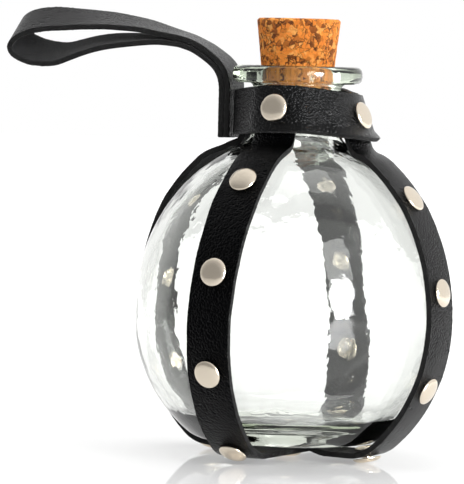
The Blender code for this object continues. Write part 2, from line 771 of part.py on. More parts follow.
def build_belt_loop(material, seat):
    """The belt loop: two ends riveted to the collar, and the free eye that bends above the lip."""
    spine = spine_line()
    hinge, direction, distance = loop_hinge()
    total = lengths_along(spine)
    lower = [p for p, s in zip(spine, total) if s < distance] + [point_along(spine, distance)]
    start = distance - LOOP_PLY
    upper = [point_along(spine, start)] + [p for p, s in zip(spine, total) if s > start]
    socket = knuckle_cutter("belt_loop_socket_cutter", hinge, direction, False)
    for name, side in (("belt_loop_inner_end", 1), ("belt_loop_outer_end", -1)):
        end = loop_sheet(name, shifted(lower, side * LOOP_PLY / 2), material)
        cut(end, post_cutter(name + "_cutter", [seat]))
        cut(end, socket)
    top = shifted(upper, LOOP_PLY / 2)
    bottom = shifted(upper, -LOOP_PLY / 2)
    corners = [top[-1]] + [loop_point(*shares) for shares in EYE_SHARES] + [bottom[-1]]
    eye = smooth_through(corners, LOOP_LEATHER * EYE_STEP_SHARE)
    line = top[:-1] + eye + list(reversed(bottom[:-1]))
    free = loop_sheet("belt_loop_eye", line, material)
    cut(free, knuckle_cutter("belt_loop_knuckle_cutter", hinge, direction, True))
    pivot = Vector((-hinge.x, 0, hinge.y))
    free.data.transform(Matrix.Translation(-pivot))
    free.location = pivot


def main():
    """Build every piece of the bottle."""
    clear_scene()
    glass = make_material("clear_glass", (0.86, 0.93, 0.90), 0.03, alpha=0.35)
    cork = make_material("agglomerated_cork", (0.62, 0.33, 0.13), 0.85)
    leather = make_material("black_leather", (0.014, 0.014, 0.016), 0.45)
    nickel = make_material("polished_nickel", (0.78, 0.72, 0.64), 0.12, 1.0)

    build_flask(glass)
    build_cork(cork)

    legs = {name: Leg(name) for name in LEGS}
    strap_seats = {strap: [] for strap in FIRST_RIVET}
    collar_seats = {}
    for name, leg in legs.items():
        for number in range(SIDE_RIVETS):
            spacing = rivet_spacing(legs[SPACING_LEG[leg.strap]])
            distance = FIRST_RIVET[leg.strap] + spacing * (SIDE_RIVETS - 1 - number)
            point, normal = leg.seat(distance)
            strap_seats[leg.strap].append((point, normal))
            add_rivet(f"{name}_{number + 1}", point, normal, LEATHER, leg.hollow(distance), nickel)
        point, normal = leg.seat(leg.collar_distance())
        strap_seats[leg.strap].append((point, normal))
        collar_seats[name] = (point, normal)
        above = PLY
        if name == SEAM_LEG:
            above += PLY
        if name == LOOP_LEG:
            above += 2 * LOOP_PLY
        drop = curved_seat(NECK_RADIUS + BACK_HEIGHT)
        add_rivet(f"{name}_collar", point + above * normal, normal, above + LEATHER, drop, nickel)

    down = Vector((0, 0, -1))
    base_point = Vector((0, 0, FOOT_HEIGHT))
    for seats in strap_seats.values():
        seats.append((base_point, down))
    add_rivet("base", base_point, down, PLY + LEATHER, 0, nickel)

    build_collar(leather, list(collar_seats.values()))
    pairs = {"long_strap_front_back": ("back", "front"), "long_strap_left_right": ("left", "right")}
    for strap, (first, second) in pairs.items():
        build_strap(strap, (legs[first], legs[second]), strap_seats[strap], leather)
    build_belt_loop(leather, collar_seats[LOOP_LEG])


main()
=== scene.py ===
"""Potion bottle: the finished look of a glass flask in a riveted leather harness.

Laid out as an add-on with one operator for each piece, and run as a script. Units are metres.
"""

import json
from math import acos, atan2, ceil, cos, pi, radians, sin, sqrt

import bmesh
import bpy
import numpy as np
from bpy.props import FloatProperty, FloatVectorProperty, IntProperty, PointerProperty
from bpy.types import Operator, Panel, PropertyGroup
from mathutils import Matrix, Vector, noise


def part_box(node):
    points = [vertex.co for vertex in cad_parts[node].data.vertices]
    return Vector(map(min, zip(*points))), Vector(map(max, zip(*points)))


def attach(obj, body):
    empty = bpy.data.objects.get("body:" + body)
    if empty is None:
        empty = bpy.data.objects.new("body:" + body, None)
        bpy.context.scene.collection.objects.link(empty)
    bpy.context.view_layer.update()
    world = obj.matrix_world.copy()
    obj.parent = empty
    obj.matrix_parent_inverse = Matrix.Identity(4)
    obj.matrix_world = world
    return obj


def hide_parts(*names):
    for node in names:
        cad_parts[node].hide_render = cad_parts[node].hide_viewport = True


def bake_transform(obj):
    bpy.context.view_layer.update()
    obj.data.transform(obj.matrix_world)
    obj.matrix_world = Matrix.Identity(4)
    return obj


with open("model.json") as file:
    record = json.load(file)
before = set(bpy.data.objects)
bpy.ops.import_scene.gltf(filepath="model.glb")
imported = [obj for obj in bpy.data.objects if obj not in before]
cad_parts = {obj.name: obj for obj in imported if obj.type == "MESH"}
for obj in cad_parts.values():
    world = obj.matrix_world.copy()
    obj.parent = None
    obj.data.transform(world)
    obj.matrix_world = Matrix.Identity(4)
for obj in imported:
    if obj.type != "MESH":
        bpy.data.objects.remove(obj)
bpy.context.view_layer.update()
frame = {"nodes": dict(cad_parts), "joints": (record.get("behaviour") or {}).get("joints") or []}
FLASK_LOW, FLASK_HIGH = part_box("glass_flask")
CORK_LOW, CORK_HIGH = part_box("cork_stopper")

bl_info = {
    "name": "Potion bottle",
    "version": (1, 0, 0),
    "blender": (4, 5, 0),
    "location": "View3D > Sidebar > Potion",
    "description": "Dresses the solids of a flask in a leather harness",
    "category": "Object",
}

BODY = "bottle"
STOPPER = "stopper"
LEG_NAMES = ("front", "right", "back", "left")
UPPER_STRAP = "long_strap_left_right"
RIVET_LABELS = [f"{leg}_{number}" for leg in LEG_NAMES for number in (1, 2, 3, 4, "collar")] + ["base"]


def length(description, default):
    """A length that a user can change."""
    return FloatProperty(description=description, default=default, unit="LENGTH", precision=5)


def colour(description, default):
    """A colour that a user can change."""
    return FloatVectorProperty(description=description, default=default, size=3, subtype="COLOR",
                               min=0, max=1)


def angle(description, degrees):
    """An angle that a user can change."""
    return FloatProperty(description=description, default=radians(degrees), unit="ROTATION", subtype="ANGLE")


class FlaskSizes(PropertyGroup):
    """Sizes of the blown flask and of its cork."""

    radius: length("Largest outer radius", FLASK_HIGH.x)
    bottom: length("Height of the glass above the table", FLASK_LOW.z)
    top: length("Height of the lip's upper face", FLASK_HIGH.z)
    waist: length("Height of the widest place above the bottom", 0.0410)
    lower_half: length("Half height of the egg below the waist", 0.0510)
    wall: length("Thickness of the glass", 0.0030)
    base: length("Thickness of the glass under the inside floor", 0.0065)
    punt_radius: length("Radius of the hollow under the base", 0.0220)
    punt_depth: length("Depth of the hollow under the base", 0.0042)
    neck_radius: length("Outer radius of the neck", 0.0143)
    neck_length: length("From the body to the lip", 0.0188)
    lip_radius: length("Outer radius of the lip", 0.0213)
    lip_thickness: length("Height of the lip", 0.0058)
    bore: length("Inner radius of the neck", 0.0115)
    wave: length("How far the blown inner wall strays from round", 0.00016)
    cork_slack: length("Gap between the cork and the glass", 0.0004)
    steps: IntProperty(description="Facets round the glass", default=128, min=16)


class HarnessSizes(PropertyGroup):
    """Sizes of the leather harness."""

    gap: length("Gap between pieces that touch", 0.0003)
    leather: length("Thickness of the straps and the collar", 0.0018)
    strap_width: length("Width of both long straps", 0.0150)
    cross_curve: length("Radius that a strap bends to across its width", 0.150)
    base_bend: length("Reach of the bend at the base", 0.0050)
    shoulder_bend: length("Reach of the bend at the collar", 0.0019)
    cap_height: length("Height of a rivet cap", 0.0015)
    back_height: length("Height of a rivet's inner cap", 0.0013)
    back_radius: length("Radius of a rivet's inner cap", 0.0036)
    ramp: length("Run in which the upper strap climbs over the lower one", 0.0100)
    collar_width: length("Width of the collar's strip", 0.0149)
    collar_flare: length("How far the collar's lower edge turns out", 0.0014)
    collar_sag: length("How far the collar hangs lower at its sides", 0.0021)
    slack_top: length("Play of the collar's upper edge", 0.0011)
    slack_bottom: length("Play of the collar's lower edge", 0.0062)
    row: length("Length of one row of faces along a strip", 0.0006)
    wander: length("How far a cut edge strays from straight", 0.00022)
    fuzz: length("How rough a cut edge is", 0.00013)


class LoopSizes(PropertyGroup):
    """Sizes of the belt loop."""

    leather: length("Thickness of the strip", 0.0018)
    width: length("Width of the strip", 0.0150)
    reach: length("How far the loop stands out from the collar", 0.0787)
    rise: length("How far it rises above the collar", 0.0229)
    roll: angle("How far the strip turns over along its length", 36)
    bend: length("Half of the stretch that bends at the lip", 0.0070)


class Finishes(PropertyGroup):
    """Colours of the pieces."""

    glass: colour("Tint of the glass's surface", (0.99, 0.995, 0.99))
    lip_glass: colour("Tint of the thick ring lip", (0.80, 0.85, 0.77))
    glass_depth: colour("Colour that thick glass tends to", (0.28, 0.42, 0.10))
    cork: colour("Middle tone of the cork", (0.86, 0.26, 0.038))
    # The darkest granules' tone, which also paints the shade in the gaps between granules
    cork_dark_and_gap_shade: colour("Darkest granules and gaps", (0.10, 0.030, 0.010))
    cork_light: colour("Palest granules", (0.97, 0.46, 0.12))
    grain: colour("Outer face of the leather", (0.0006, 0.0006, 0.0007))
    flesh: colour("Inner face of the leather", (0.012, 0.012, 0.0125))
    edge: colour("Cut edges of the leather", (0.006, 0.006, 0.006))
    nickel: colour("Rivets", (0.82, 0.73, 0.60))


class CameraPlace(PropertyGroup):
    """Where the photo was taken from."""

    azimuth: angle("Direction of the camera, counted from -Y towards +X", 18)
    distance: length("From the flask's axis", 1.078)
    height: length("Above the table", 0.12936)
    yaw: angle("Turn of the view to the left", 1.07)
    pitch: angle("Turn of the view down", 3.15)
    roll: angle("Turn of the view about its own line", 1.44)
    lens: FloatProperty(description="Focal length in millimetres", default=254.8)


# Working with lines

def facing(azimuth):
    """The level direction that an azimuth names."""
    return Vector((sin(azimuth), -cos(azimuth), 0))


def lengths_along(points):
    """Distance of each point from the first, along the line through them."""
    total = [0.0]
    for first, second in zip(points, points[1:]):
        total.append(total[-1] + (second - first).length)
    return total


def point_along(points, distance, total):
    """The point at a distance along a line whose points lie at the distances in total."""
    for index in range(len(points) - 1):
        if distance <= total[index + 1]:
            span = total[index + 1] - total[index]
            return points[index].lerp(points[index + 1], (distance - total[index]) / span)
    return points[-1].copy()


def evenly(points, spacing):
    """The same line with points about every spacing."""
    total = lengths_along(points)
    count = ceil(total[-1] / spacing)
    return [point_along(points, total[-1] * i / count, total) for i in range(count + 1)]


def directions_along(points):
    """Unit direction of travel at each point."""
    ahead = points[1:] + points[-1:]
    behind = points[:1] + points[:-1]
    return [(b - a).normalized() for a, b in zip(behind, ahead)]


# A rounded corner clears this much of the line on each side, in reaches of its bend
CORNER_CLEAR = 1.1


def round_corner(points, corner, reach, steps):
    """Replace one corner of a line with a smooth bend that starts and ends a reach away."""
    total = lengths_along(points)
    middle = total[corner]
    start = point_along(points, middle - reach, total)
    end = point_along(points, middle + reach, total)
    before = [p for p, s in zip(points, total) if s < middle - CORNER_CLEAR * reach]
    after = [p for p, s in zip(points, total) if s > middle + CORNER_CLEAR * reach]
    bend = []
    for step in range(steps + 1):
        share = step / steps
        bend.append(start.lerp(points[corner], share).lerp(points[corner].lerp(end, share), share))
    return before + bend + after


def smooth_through(points, spacing):
    """A smooth line through the points."""
    padded = [2 * points[0] - points[1]] + points + [2 * points[-1] - points[-2]]
    line = []
    for p0, p1, p2, p3 in zip(padded, padded[1:], padded[2:], padded[3:]):
        steps = max(1, ceil((p2 - p1).length / spacing))
        for step in range(steps):
            t = step / steps
            line.append(0.5 * (2 * p1 + (p2 - p0) * t + (2 * p0 - 5 * p1 + 4 * p2 - p3) * t * t
                               + (3 * p1 - p0 - 3 * p2 + p3) * t * t * t))
    return line + [points[-1].copy()]


def smoothed(points, rounds):
    """A line with its small corners eased, its ends kept."""
    for _ in range(rounds):
        middle = [(a + 2 * b + c) / 4 for a, b, c in zip(points, points[1:], points[2:])]
        points = [points[0]] + middle + [points[-1]]
    return points


def shifted(points, offset):
    """A flat line moved sideways, to the left of its direction of travel."""
    return [p + offset * Vector((-d.y, d.x)) for p, d in zip(points, directions_along(points))]


def eased(share):
    """A share between 0 and 1, with a soft start and end."""
    share = min(1, max(0, share))
    return share * share * (3 - 2 * share)


# Working with objects

def deselect():
    """Leave nothing selected and no object in edit mode."""
    if bpy.context.object and bpy.context.object.mode != "OBJECT":
        bpy.ops.object.mode_set(mode="OBJECT")
    bpy.ops.object.select_all(action="DESELECT")


def pick(piece):
    """Select one object alone."""
    deselect()
    piece.select_set(True)
    bpy.context.view_layer.objects.active = piece


def apply_all(piece):
    """Apply every modifier, in order."""
    pick(piece)
    for name in [modifier.name for modifier in piece.modifiers]:
        bpy.ops.object.modifier_apply(modifier=name)


def named(name):
    """The object that was just made, with its name."""
    piece = bpy.context.object
    piece.name = name
    piece.data.name = name
    return piece


def paint(piece, *materials):
    """Give a piece its materials, in the order that its faces name them."""
    for material in materials:
        piece.data.materials.append(material)


def finish(piece, slot, body, *nodes):
    """Hide the solids that a piece stands for, and attach it to the body it rides on if it is one. What it is
    made of, slot, is not used.
    """
    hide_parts(*nodes)
    if body:
        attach(piece, body)


def smooth_faces(piece, limit):
    """Shade a piece smooth, with sharp edges above an angle."""
    pick(piece)
    bpy.ops.object.shade_smooth_by_angle(angle=limit)


def outward_of(piece):
    """The direction out of a piece at each of its vertices, read before any of them moves."""
    return [vertex.normal.copy() for vertex in piece.data.vertices]


# Points nearer to each other than this are one point, and faces that meet at more than this show a sharp edge
WELD = 0.000002
TURNED_SHARP = radians(50)
STRIP_SHARP = radians(70)


def turned(name, outline, steps):
    """A round closed piece spun from an outline whose ends lie on the axis."""
    deselect()
    bpy.ops.object.add(type="MESH")
    piece = named(name)
    bpy.ops.object.mode_set(mode="EDIT")
    bm = bmesh.from_edit_mesh(piece.data)
    points = [bm.verts.new((radius, 0, height)) for radius, height in outline]
    for first, second in zip(points, points[1:]):
        bm.edges.new((first, second))
    bmesh.update_edit_mesh(piece.data)
    bpy.ops.mesh.select_all(action="SELECT")
    bpy.ops.mesh.spin(steps=steps, angle=2 * pi, center=(0, 0, 0), axis=(0, 0, 1))
    bpy.ops.mesh.select_all(action="SELECT")
    bpy.ops.mesh.remove_doubles(threshold=WELD)
    bpy.ops.mesh.normals_make_consistent(inside=False)
    bpy.ops.object.mode_set(mode="OBJECT")
    return piece


# The cut edges: how fast and how differently on each side they stray, how far they are rounded, as a share of
# the thickness and where faces meet at more than an angle, and the scale and size of their grit
STRAY_SCALE = 110
STRAY_SIDES = 7.0
EDGE_ROUND = 0.16
EDGE_ANGLE = radians(55)
EDGE_GRIT = ((1900, 1), (4200, 0.6))


def cut_strip(name, rows, columns):
    """A flat strip of leather, with the row of each vertex and its share across, from -0.5 to 0.5."""
    deselect()
    bpy.ops.mesh.primitive_grid_add(x_subdivisions=rows, y_subdivisions=columns, size=1)
    strip = named(name)
    flat = np.empty(len(strip.data.vertices) * 3)
    strip.data.vertices.foreach_get("co", flat)
    flat = flat.reshape(-1, 3)
    along = flat[:, 0].round(6)
    xs = np.unique(along)
    if len(xs) != rows + 1:
        raise RuntimeError(f"{name} has {len(xs)} lines of vertices for {rows} rows")
    return strip, np.searchsorted(xs, along).tolist(), flat[:, 1].tolist()


def lay_strip(strip, places, run, width):
    """Put the vertices of a flat strip at their places, and measure its UV in metres."""
    strip.data.vertices.foreach_set("co", places.ravel())
    for corner in strip.data.uv_layers.active.data:
        corner.uv = (corner.uv[0] * run, corner.uv[1] * width)
    strip.data.update()


def from_middle(width, along, share, seed, sizes):
    """How far a vertex lies from its strip's middle line, whose cut edges stray from straight."""
    side = 1 if share > 0 else -1
    stray = noise.noise(Vector((along * STRAY_SCALE, side * STRAY_SIDES, seed))) * sizes.wander
    return (width + 2 * stray * abs(2 * share)) * share


def bend_strip(strip, index, shares, stations, width, sizes, seed):
    """Lay a flat strip along its stations of point, direction, outward, cross bend and distance."""
    places = np.empty((len(index), 3))
    for vertex, (row, share) in enumerate(zip(index, shares)):
        point, direction, out, bend, along = stations[row]
        across = out.cross(direction).normalized()
        turn = from_middle(width, along, share, seed, sizes) / bend
        places[vertex] = point + bend * sin(turn) * across - bend * (1 - cos(turn)) * out
    lay_strip(strip, places, stations[-1][4], width)


def thicken_strip(strip, thickness, offset, sizes, leather):
    """Give a bent strip its thickness, its two faces, and rough rounded cut edges."""
    paint(strip, *leather)
    wall = strip.modifiers.new("Thickness", "SOLIDIFY")
    wall.thickness = thickness
    wall.offset = offset
    wall.material_offset = 1
    wall.material_offset_rim = 2
    edge = strip.modifiers.new("Edges", "BEVEL")
    edge.width = thickness * EDGE_ROUND
    edge.segments = 2
    edge.limit_method = "ANGLE"
    edge.angle_limit = EDGE_ANGLE
    apply_all(strip)
    rough = set()
    for face in strip.data.polygons:
        if face.material_index == 2:
            rough.update(face.vertices)
    normals = outward_of(strip)
    for index in rough:
        vertex = strip.data.vertices[index]
        grit = sum(size * noise.noise(vertex.co * scale) for scale, size in EDGE_GRIT)
        vertex.co += normals[index] * grit * sizes.fuzz
    smooth_faces(strip, STRIP_SHARP)


# The flask's outline, with the radius across and the height up

def upper_half(flask):
    """Half height of the egg above the waist, which follows from where the neck starts."""
    rise = flask.top - flask.lip_thickness - flask.neck_length - flask.bottom - flask.waist
    return rise / sqrt(1 - (flask.neck_radius / flask.radius) ** 2)


def egg_point(flask, turn, offset=0.0):
    """A point of the flask's body, moved out square to its surface."""
    half = upper_half(flask) if turn > 0 else flask.lower_half
    square = Vector((cos(turn) / flask.radius, sin(turn) / half)).normalized()
    waist = flask.bottom + flask.waist
    return Vector((flask.radius * cos(turn), waist + half * sin(turn))) + offset * square


# The inside floor: distances from the axis, and how far it lies below its rim there
FLOOR_SAGS = ((0, 0.0012), (0.012, 0.0010), (0.024, 0.0004))
# Reach and steps of the rounded corners: heel, neck, the lip's root, low and high edge, mouth, bore and floor
CORNER_BENDS = ((0.0034, 8), (0.0042, 8), (0.0012, 4), (0.0018, 6), (0.0018, 6), (0.0010, 4), (0.0046, 8),
                (0.0060, 8))
EGG_STEP = radians(2)
HOLLOW_STEPS = 10
GLASS_SPACING = 0.0009


def turn_below(depth):
    """The turn at which an egg is this deep below its waist, as a share of its half height."""
    return -atan2(depth, sqrt(1 - depth ** 2))


def flask_outline(flask):
    """The section of the glass, from the middle of the inside floor, over the lip, to the hollow."""
    waist = flask.bottom + flask.waist
    inner = flask.radius - flask.wall
    up = upper_half(flask) - flask.wall
    down = flask.lower_half - flask.wall
    floor = flask.bottom + flask.base
    floor_turn = turn_below((waist - floor) / down)
    bore_turn = acos(flask.bore / inner)
    inside = [Vector((radius, floor - sag)) for radius, sag in FLOOR_SAGS]
    floor_corner = len(inside)
    count = ceil((bore_turn - floor_turn) / EGG_STEP)
    for i in range(count + 1):
        turn = floor_turn + (bore_turn - floor_turn) * i / count
        half = up if turn > 0 else down
        inside.append(Vector((inner * cos(turn), waist + half * sin(turn))))
    bore_corner = len(inside) - 1
    mouth = CORK_HIGH.x - (CORK_HIGH.z - flask.top) * cork_taper(flask) + flask.cork_slack
    inside += [Vector((flask.bore, CORK_LOW.z)), Vector((mouth, flask.top))]
    lip_corner = len(inside)
    under = flask.top - flask.lip_thickness
    profile = inside + [Vector((flask.lip_radius, flask.top)), Vector((flask.lip_radius, under)),
                        Vector((flask.neck_radius, under))]
    neck_corner = len(profile)
    neck_turn = acos(flask.neck_radius / flask.radius)
    heel_turn = turn_below(flask.waist / flask.lower_half)
    count = ceil((neck_turn - heel_turn) / EGG_STEP)
    profile += [egg_point(flask, neck_turn + (heel_turn - neck_turn) * i / count) for i in range(count + 1)]
    heel_corner = len(profile) - 1
    for i in range(HOLLOW_STEPS + 1):
        share = 1 - i / HOLLOW_STEPS
        rise = flask.punt_depth * (1 - share ** 2) ** 1.5
        profile.append(Vector((flask.punt_radius * share, flask.bottom + rise)))
    corners = (heel_corner, neck_corner, lip_corner + 2, lip_corner + 1, lip_corner, lip_corner - 1,
               bore_corner, floor_corner)
    for corner, (reach, steps) in zip(corners, CORNER_BENDS):
        profile = round_corner(profile, corner, reach, steps)
    profile = smoothed(evenly(profile, GLASS_SPACING), 2)
    profile[0].x = 0
    profile[-1].x = 0
    return [(point.x, point.y) for point in profile]


def cork_taper(flask):
    """Growth of the cork's radius with height."""
    return (CORK_HIGH.x - (flask.bore - flask.cork_slack)) / (CORK_HIGH.z - CORK_LOW.z)


# The harness's lines

def strap_offset(harness):
    """From the glass to a strap's outer face, over a rivet's inner cap."""
    return harness.leather + harness.back_height + 3 * harness.gap


def ply(harness):
    """One thickness of leather with its gap."""
    return harness.leather + harness.gap


def seat_drop(flask, harness):
    """How far a flat inner cap stands off the hollow side of leather bent to the neck."""
    radius = flask.neck_radius + harness.back_height
    return radius - sqrt(radius ** 2 - harness.back_radius ** 2)


def collar_shift(harness, share):
    """How far the collar's middle lies from the flask's axis, along +X."""
    return (harness.slack_bottom + (harness.slack_top - harness.slack_bottom) * share) / 2


def collar_reach(flask, harness, azimuth, share):
    """Outer radius of the collar without its flare: its play is all on the right."""
    snug = flask.neck_radius + harness.back_height + seat_drop(flask, harness) + 2 * harness.gap
    shift = collar_shift(harness, share)
    radius = snug + ply(harness) + harness.leather + shift
    return shift * sin(azimuth) + sqrt(radius ** 2 - (shift * cos(azimuth)) ** 2)


def collar_rise(flask, harness, azimuth):
    """The height that the strip's width takes up where it leans."""
    lean = collar_reach(flask, harness, azimuth, 0) - collar_reach(flask, harness, azimuth, 1)
    return sqrt(harness.collar_width ** 2 - lean ** 2)


# The collar: the azimuth of its highest place, its gap to the lip, and the share of its width that flares
CROWN = radians(14)
LIP_GAP = 0.0005
FLARE_SHARE = 0.17


def collar_low(flask, harness, azimuth):
    """The height of the collar's lower edge, which sags to both sides of its highest point."""
    top = flask.top - flask.lip_thickness - LIP_GAP
    return top - collar_rise(flask, harness, CROWN) - harness.collar_sag * sin(azimuth - CROWN) ** 2


def collar_edge(flask, harness, azimuth, share, flare=None):
    """Radius and height of the collar's outer face, at a share of its width."""
    flare = harness.collar_flare if flare is None else flare
    flare *= 0.5 + 0.5 * sin(azimuth)
    reach = collar_reach(flask, harness, azimuth, share) + flare * max(0, 1 - share / FLARE_SHARE)
    rise = collar_rise(flask, harness, azimuth)
    return Vector((reach, collar_low(flask, harness, azimuth) + rise * share))


# Each leg's azimuth at the base and at the collar, and how late and how early it turns
LEG_AZIMUTHS = {
    "front": (radians(-12), radians(-0.5)),
    "right": (radians(77), radians(80.5)),
    "back": (radians(167), radians(181)),
    "left": (radians(-104.5), radians(-90)),
}
TURN_LAGS = {"front": 1.6, "back": 1, "right": 1, "left": 2}
TURN_LEADS = {"front": 1, "back": 3, "right": 1, "left": 1}
# A leg's side in turns of the egg: its start and steps, where it comes down from the inner caps to the glass,
# and where it starts to bend round the neck
SIDE_START = radians(-75)
SIDE_STEP = radians(1)
SIDE_COUNT = 161
HUG_START = radians(54)
HUG_RUN = radians(12)
NECK_START = radians(40)
# The shares of the collar's width where a leg has points under it
NECK_MIDDLE = 0.5
NECK_END = 0.9
# The arch over the lower strap: the play on each side, and the steps of its ramp
ARCH_PLAY = 0.001
ARCH_STEPS = 8


class Leg:
    """One leg of a long strap: a line on its outer face, from the middle of the base to its end."""

    def __init__(self, flask, harness, name, over):
        self.flask = flask
        self.harness = harness
        self.name = name
        self.base_azimuth, self.top_azimuth = LEG_AZIMUTHS[name]
        self.over = over
        self.flat = evenly(self.outline(), harness.row)
        self.azimuths = self.drift()
        self.points = [p.x * facing(a) + Vector((0, 0, p.y)) for p, a in zip(self.flat, self.azimuths)]
        self.normals = self.outward()

    def neck_line(self, share):
        """The strap's outer face under the collar."""
        low = collar_edge(self.flask, self.harness, self.top_azimuth, 0, 0)
        high = collar_edge(self.flask, self.harness, self.top_azimuth, 1)
        flat = (high - low).normalized()
        return low.lerp(high, share) + ply(self.harness) * Vector((-flat.y, flat.x))

    def outline(self):
        """The leg's line, with the radius across and the height up."""
        harness = self.harness
        foot_height = harness.cap_height + harness.gap
        line = [Vector((0, foot_height))]
        if self.over:
            flat_half = harness.strap_width / 2 + ARCH_PLAY
            line = [Vector((0, foot_height + ply(harness)))]
            for i in range(ARCH_STEPS + 1):
                line.append(Vector((flat_half + harness.ramp * i / ARCH_STEPS,
                                    foot_height + ply(harness) * (1 - eased(i / ARCH_STEPS)))))
        hug = harness.leather + 2 * harness.gap
        wide = strap_offset(harness)
        side = []
        for i in range(SIDE_COUNT):
            turn = SIDE_START + SIDE_STEP * i
            share = eased((turn - HUG_START) / HUG_RUN)
            side.append(egg_point(self.flask, turn, wide + (hug - wide) * share))
        low = next(i for i, p in enumerate(side) if p.y > foot_height)
        drop = (side[low].y - foot_height) / (side[low].y - side[low - 1].y)
        base_corner = len(line)
        line.append(side[low].lerp(side[low - 1], drop))
        foot, top = self.neck_line(0), self.neck_line(1)
        inward = Vector((-(top - foot).y, (top - foot).x)).normalized()
        depth = [(p - foot).dot(inward) for p in side]
        waist = self.flask.bottom + self.flask.waist
        high = next(i for i in range(low, len(side)) if side[i].y > waist and depth[i] > 0)
        line += side[low:high]
        shoulder = len(line)
        share = depth[high - 1] / (depth[high - 1] - depth[high])
        line.append(side[high - 1].lerp(side[high], share))
        line += [self.neck_line(NECK_MIDDLE), self.neck_line(NECK_END)]
        line = round_corner(line, shoulder, harness.shoulder_bend, 8)
        return round_corner(line, base_corner, harness.base_bend, 8)

    def drift(self):
        """The leg's azimuth at each point: it turns on its way over the glass."""
        above = self.harness.cap_height + self.harness.gap + strap_offset(self.harness) / 2
        middle = self.neck_line(NECK_MIDDLE)
        turned_by = [0.0]
        for first, second in zip(self.flat, self.flat[1:]):
            over_glass = first.x > self.flask.radius / 2 and first.y > above or first.y > self.flask.waist
            moving = over_glass and first.y < middle.y
            turned_by.append(turned_by[-1] + ((second - first).length / first.x if moving else 0))
        span = self.top_azimuth - self.base_azimuth
        late = [(part / turned_by[-1]) ** TURN_LAGS[self.name] for part in turned_by]
        return [self.base_azimuth + span * (1 - (1 - part) ** TURN_LEADS[self.name]) for part in late]

    def neck_share(self, index):
        """0 on the flask's body, 1 under the collar."""
        waist = self.flask.bottom + self.flask.waist
        low = waist + upper_half(self.flask) * sin(NECK_START)
        high = collar_edge(self.flask, self.harness, self.top_azimuth, 0).y
        return min(1, max(0, (self.flat[index].y - low) / (high - low)))

    def outward(self):
        """The direction that the outer face looks in at each point."""
        rise = collar_rise(self.flask, self.harness, self.top_azimuth)
        low = collar_low(self.flask, self.harness, self.top_azimuth)
        made = []
        for index, direction in enumerate(directions_along(self.flat)):
            point = self.points[index]
            azimuth = self.azimuths[index]
            centre = collar_shift(self.harness, min(1, max(0, (point.z - low) / rise)))
            turn = atan2(point.x - centre, -point.y) - azimuth
            toward = azimuth + self.neck_share(index) * atan2(sin(turn), cos(turn))
            made.append((direction.y * facing(toward) - direction.x * Vector((0, 0, 1))).normalized())
        return made


def strap_stations(flask, harness, first, second):
    """Stations of a long strap, from the end of one leg to the end of the other."""
    points = list(reversed(first.points[1:])) + second.points
    normals = list(reversed(first.normals[1:])) + second.normals
    shares = [first.neck_share(i) for i in range(len(first.points) - 1, 0, -1)]
    shares += [second.neck_share(i) for i in range(len(second.points))]
    neck_bend = flask.neck_radius + harness.back_height + ply(harness) + harness.leather
    rows = zip(points, normals, directions_along(points), shares, lengths_along(points))
    made = []
    for point, normal, direction, share, along in rows:
        across = normal.cross(direction).normalized()
        out = direction.cross(across).normalized()
        level = Vector((normal.x, normal.y)).length
        bend = 1 / ((1 - share) / harness.cross_curve + share * level / neck_bend)
        made.append((point, direction, out, bend, along))
    return made


# The materials

def new_material(name):
    """A new material with its nodes and its shader."""
    material = bpy.data.materials.new(name)
    material.use_nodes = True
    tree = material.node_tree
    return material, tree, tree.nodes["Principled BSDF"]


def wire(tree, made, inputs):
    """Link or set the inputs of a node."""
    for key, value in inputs.items():
        if isinstance(value, bpy.types.NodeSocket):
            tree.links.new(value, made.inputs[key])
        else:
            made.inputs[key].default_value = value


def node(tree, kind, inputs=None, **settings):
    """Add a node, set it up, and link or set its inputs."""
    made = tree.nodes.new(kind)
    for key, value in settings.items():
        setattr(made, key, value)
    wire(tree, made, inputs or {})
    return made


def place_of(tree, kind):
    """The coordinates that a texture or the world is read at."""
    return node(tree, "ShaderNodeTexCoord").outputs[kind]


def ramp(tree, factor, stops):
    """A colour ramp with stops of place and colour."""
    made = node(tree, "ShaderNodeValToRGB", {"Fac": factor})
    elements = made.color_ramp.elements
    while len(elements) < len(stops):
        elements.new(0.5)
    for element, (place, tone) in zip(elements, stops):
        element.position = place
        element.color = (*tone, 1)
    return made.outputs["Color"]


def spread(tree, value, low, high, to_low, to_high):
    """A number moved from one range to another."""
    inputs = {"Value": value, "From Min": low, "From Max": high, "To Min": to_low, "To Max": to_high}
    return node(tree, "ShaderNodeMapRange", inputs).outputs["Result"]


def noise_value(tree, vector, scale, detail, roughness):
    """A soft noise over a position."""
    inputs = {"Vector": vector, "Scale": scale, "Detail": detail, "Roughness": roughness}
    return node(tree, "ShaderNodeTexNoise", inputs).outputs["Fac"]


def maths(tree, operation, first, second):
    """One sum of two numbers."""
    return node(tree, "ShaderNodeMath", {0: first, 1: second}, operation=operation).outputs[0]


def vectors(tree, operation, first, second=(0, 0, 0)):
    """One sum of one or two vectors, which gives a vector, or a number for a length or a dot product."""
    made = node(tree, "ShaderNodeVectorMath", {0: first, 1: second}, operation=operation)
    return made.outputs["Value" if operation in ("LENGTH", "DOT_PRODUCT") else "Vector"]


def warped(tree, where, scale, detail, reach, middle=0.0):
    """A position pushed about by a soft noise."""
    push = node(tree, "ShaderNodeTexNoise", {"Vector": where, "Scale": scale, "Detail": detail})
    push = vectors(tree, "SUBTRACT", push.outputs["Color"], (middle, middle, middle))
    return vectors(tree, "ADD", where, vectors(tree, "MULTIPLY", push, (reach, reach, reach)))


def bump(tree, height, strength, distance):
    """A bump from a height."""
    inputs = {"Height": height, "Strength": strength, "Distance": distance}
    return node(tree, "ShaderNodeBump", inputs).outputs["Normal"]


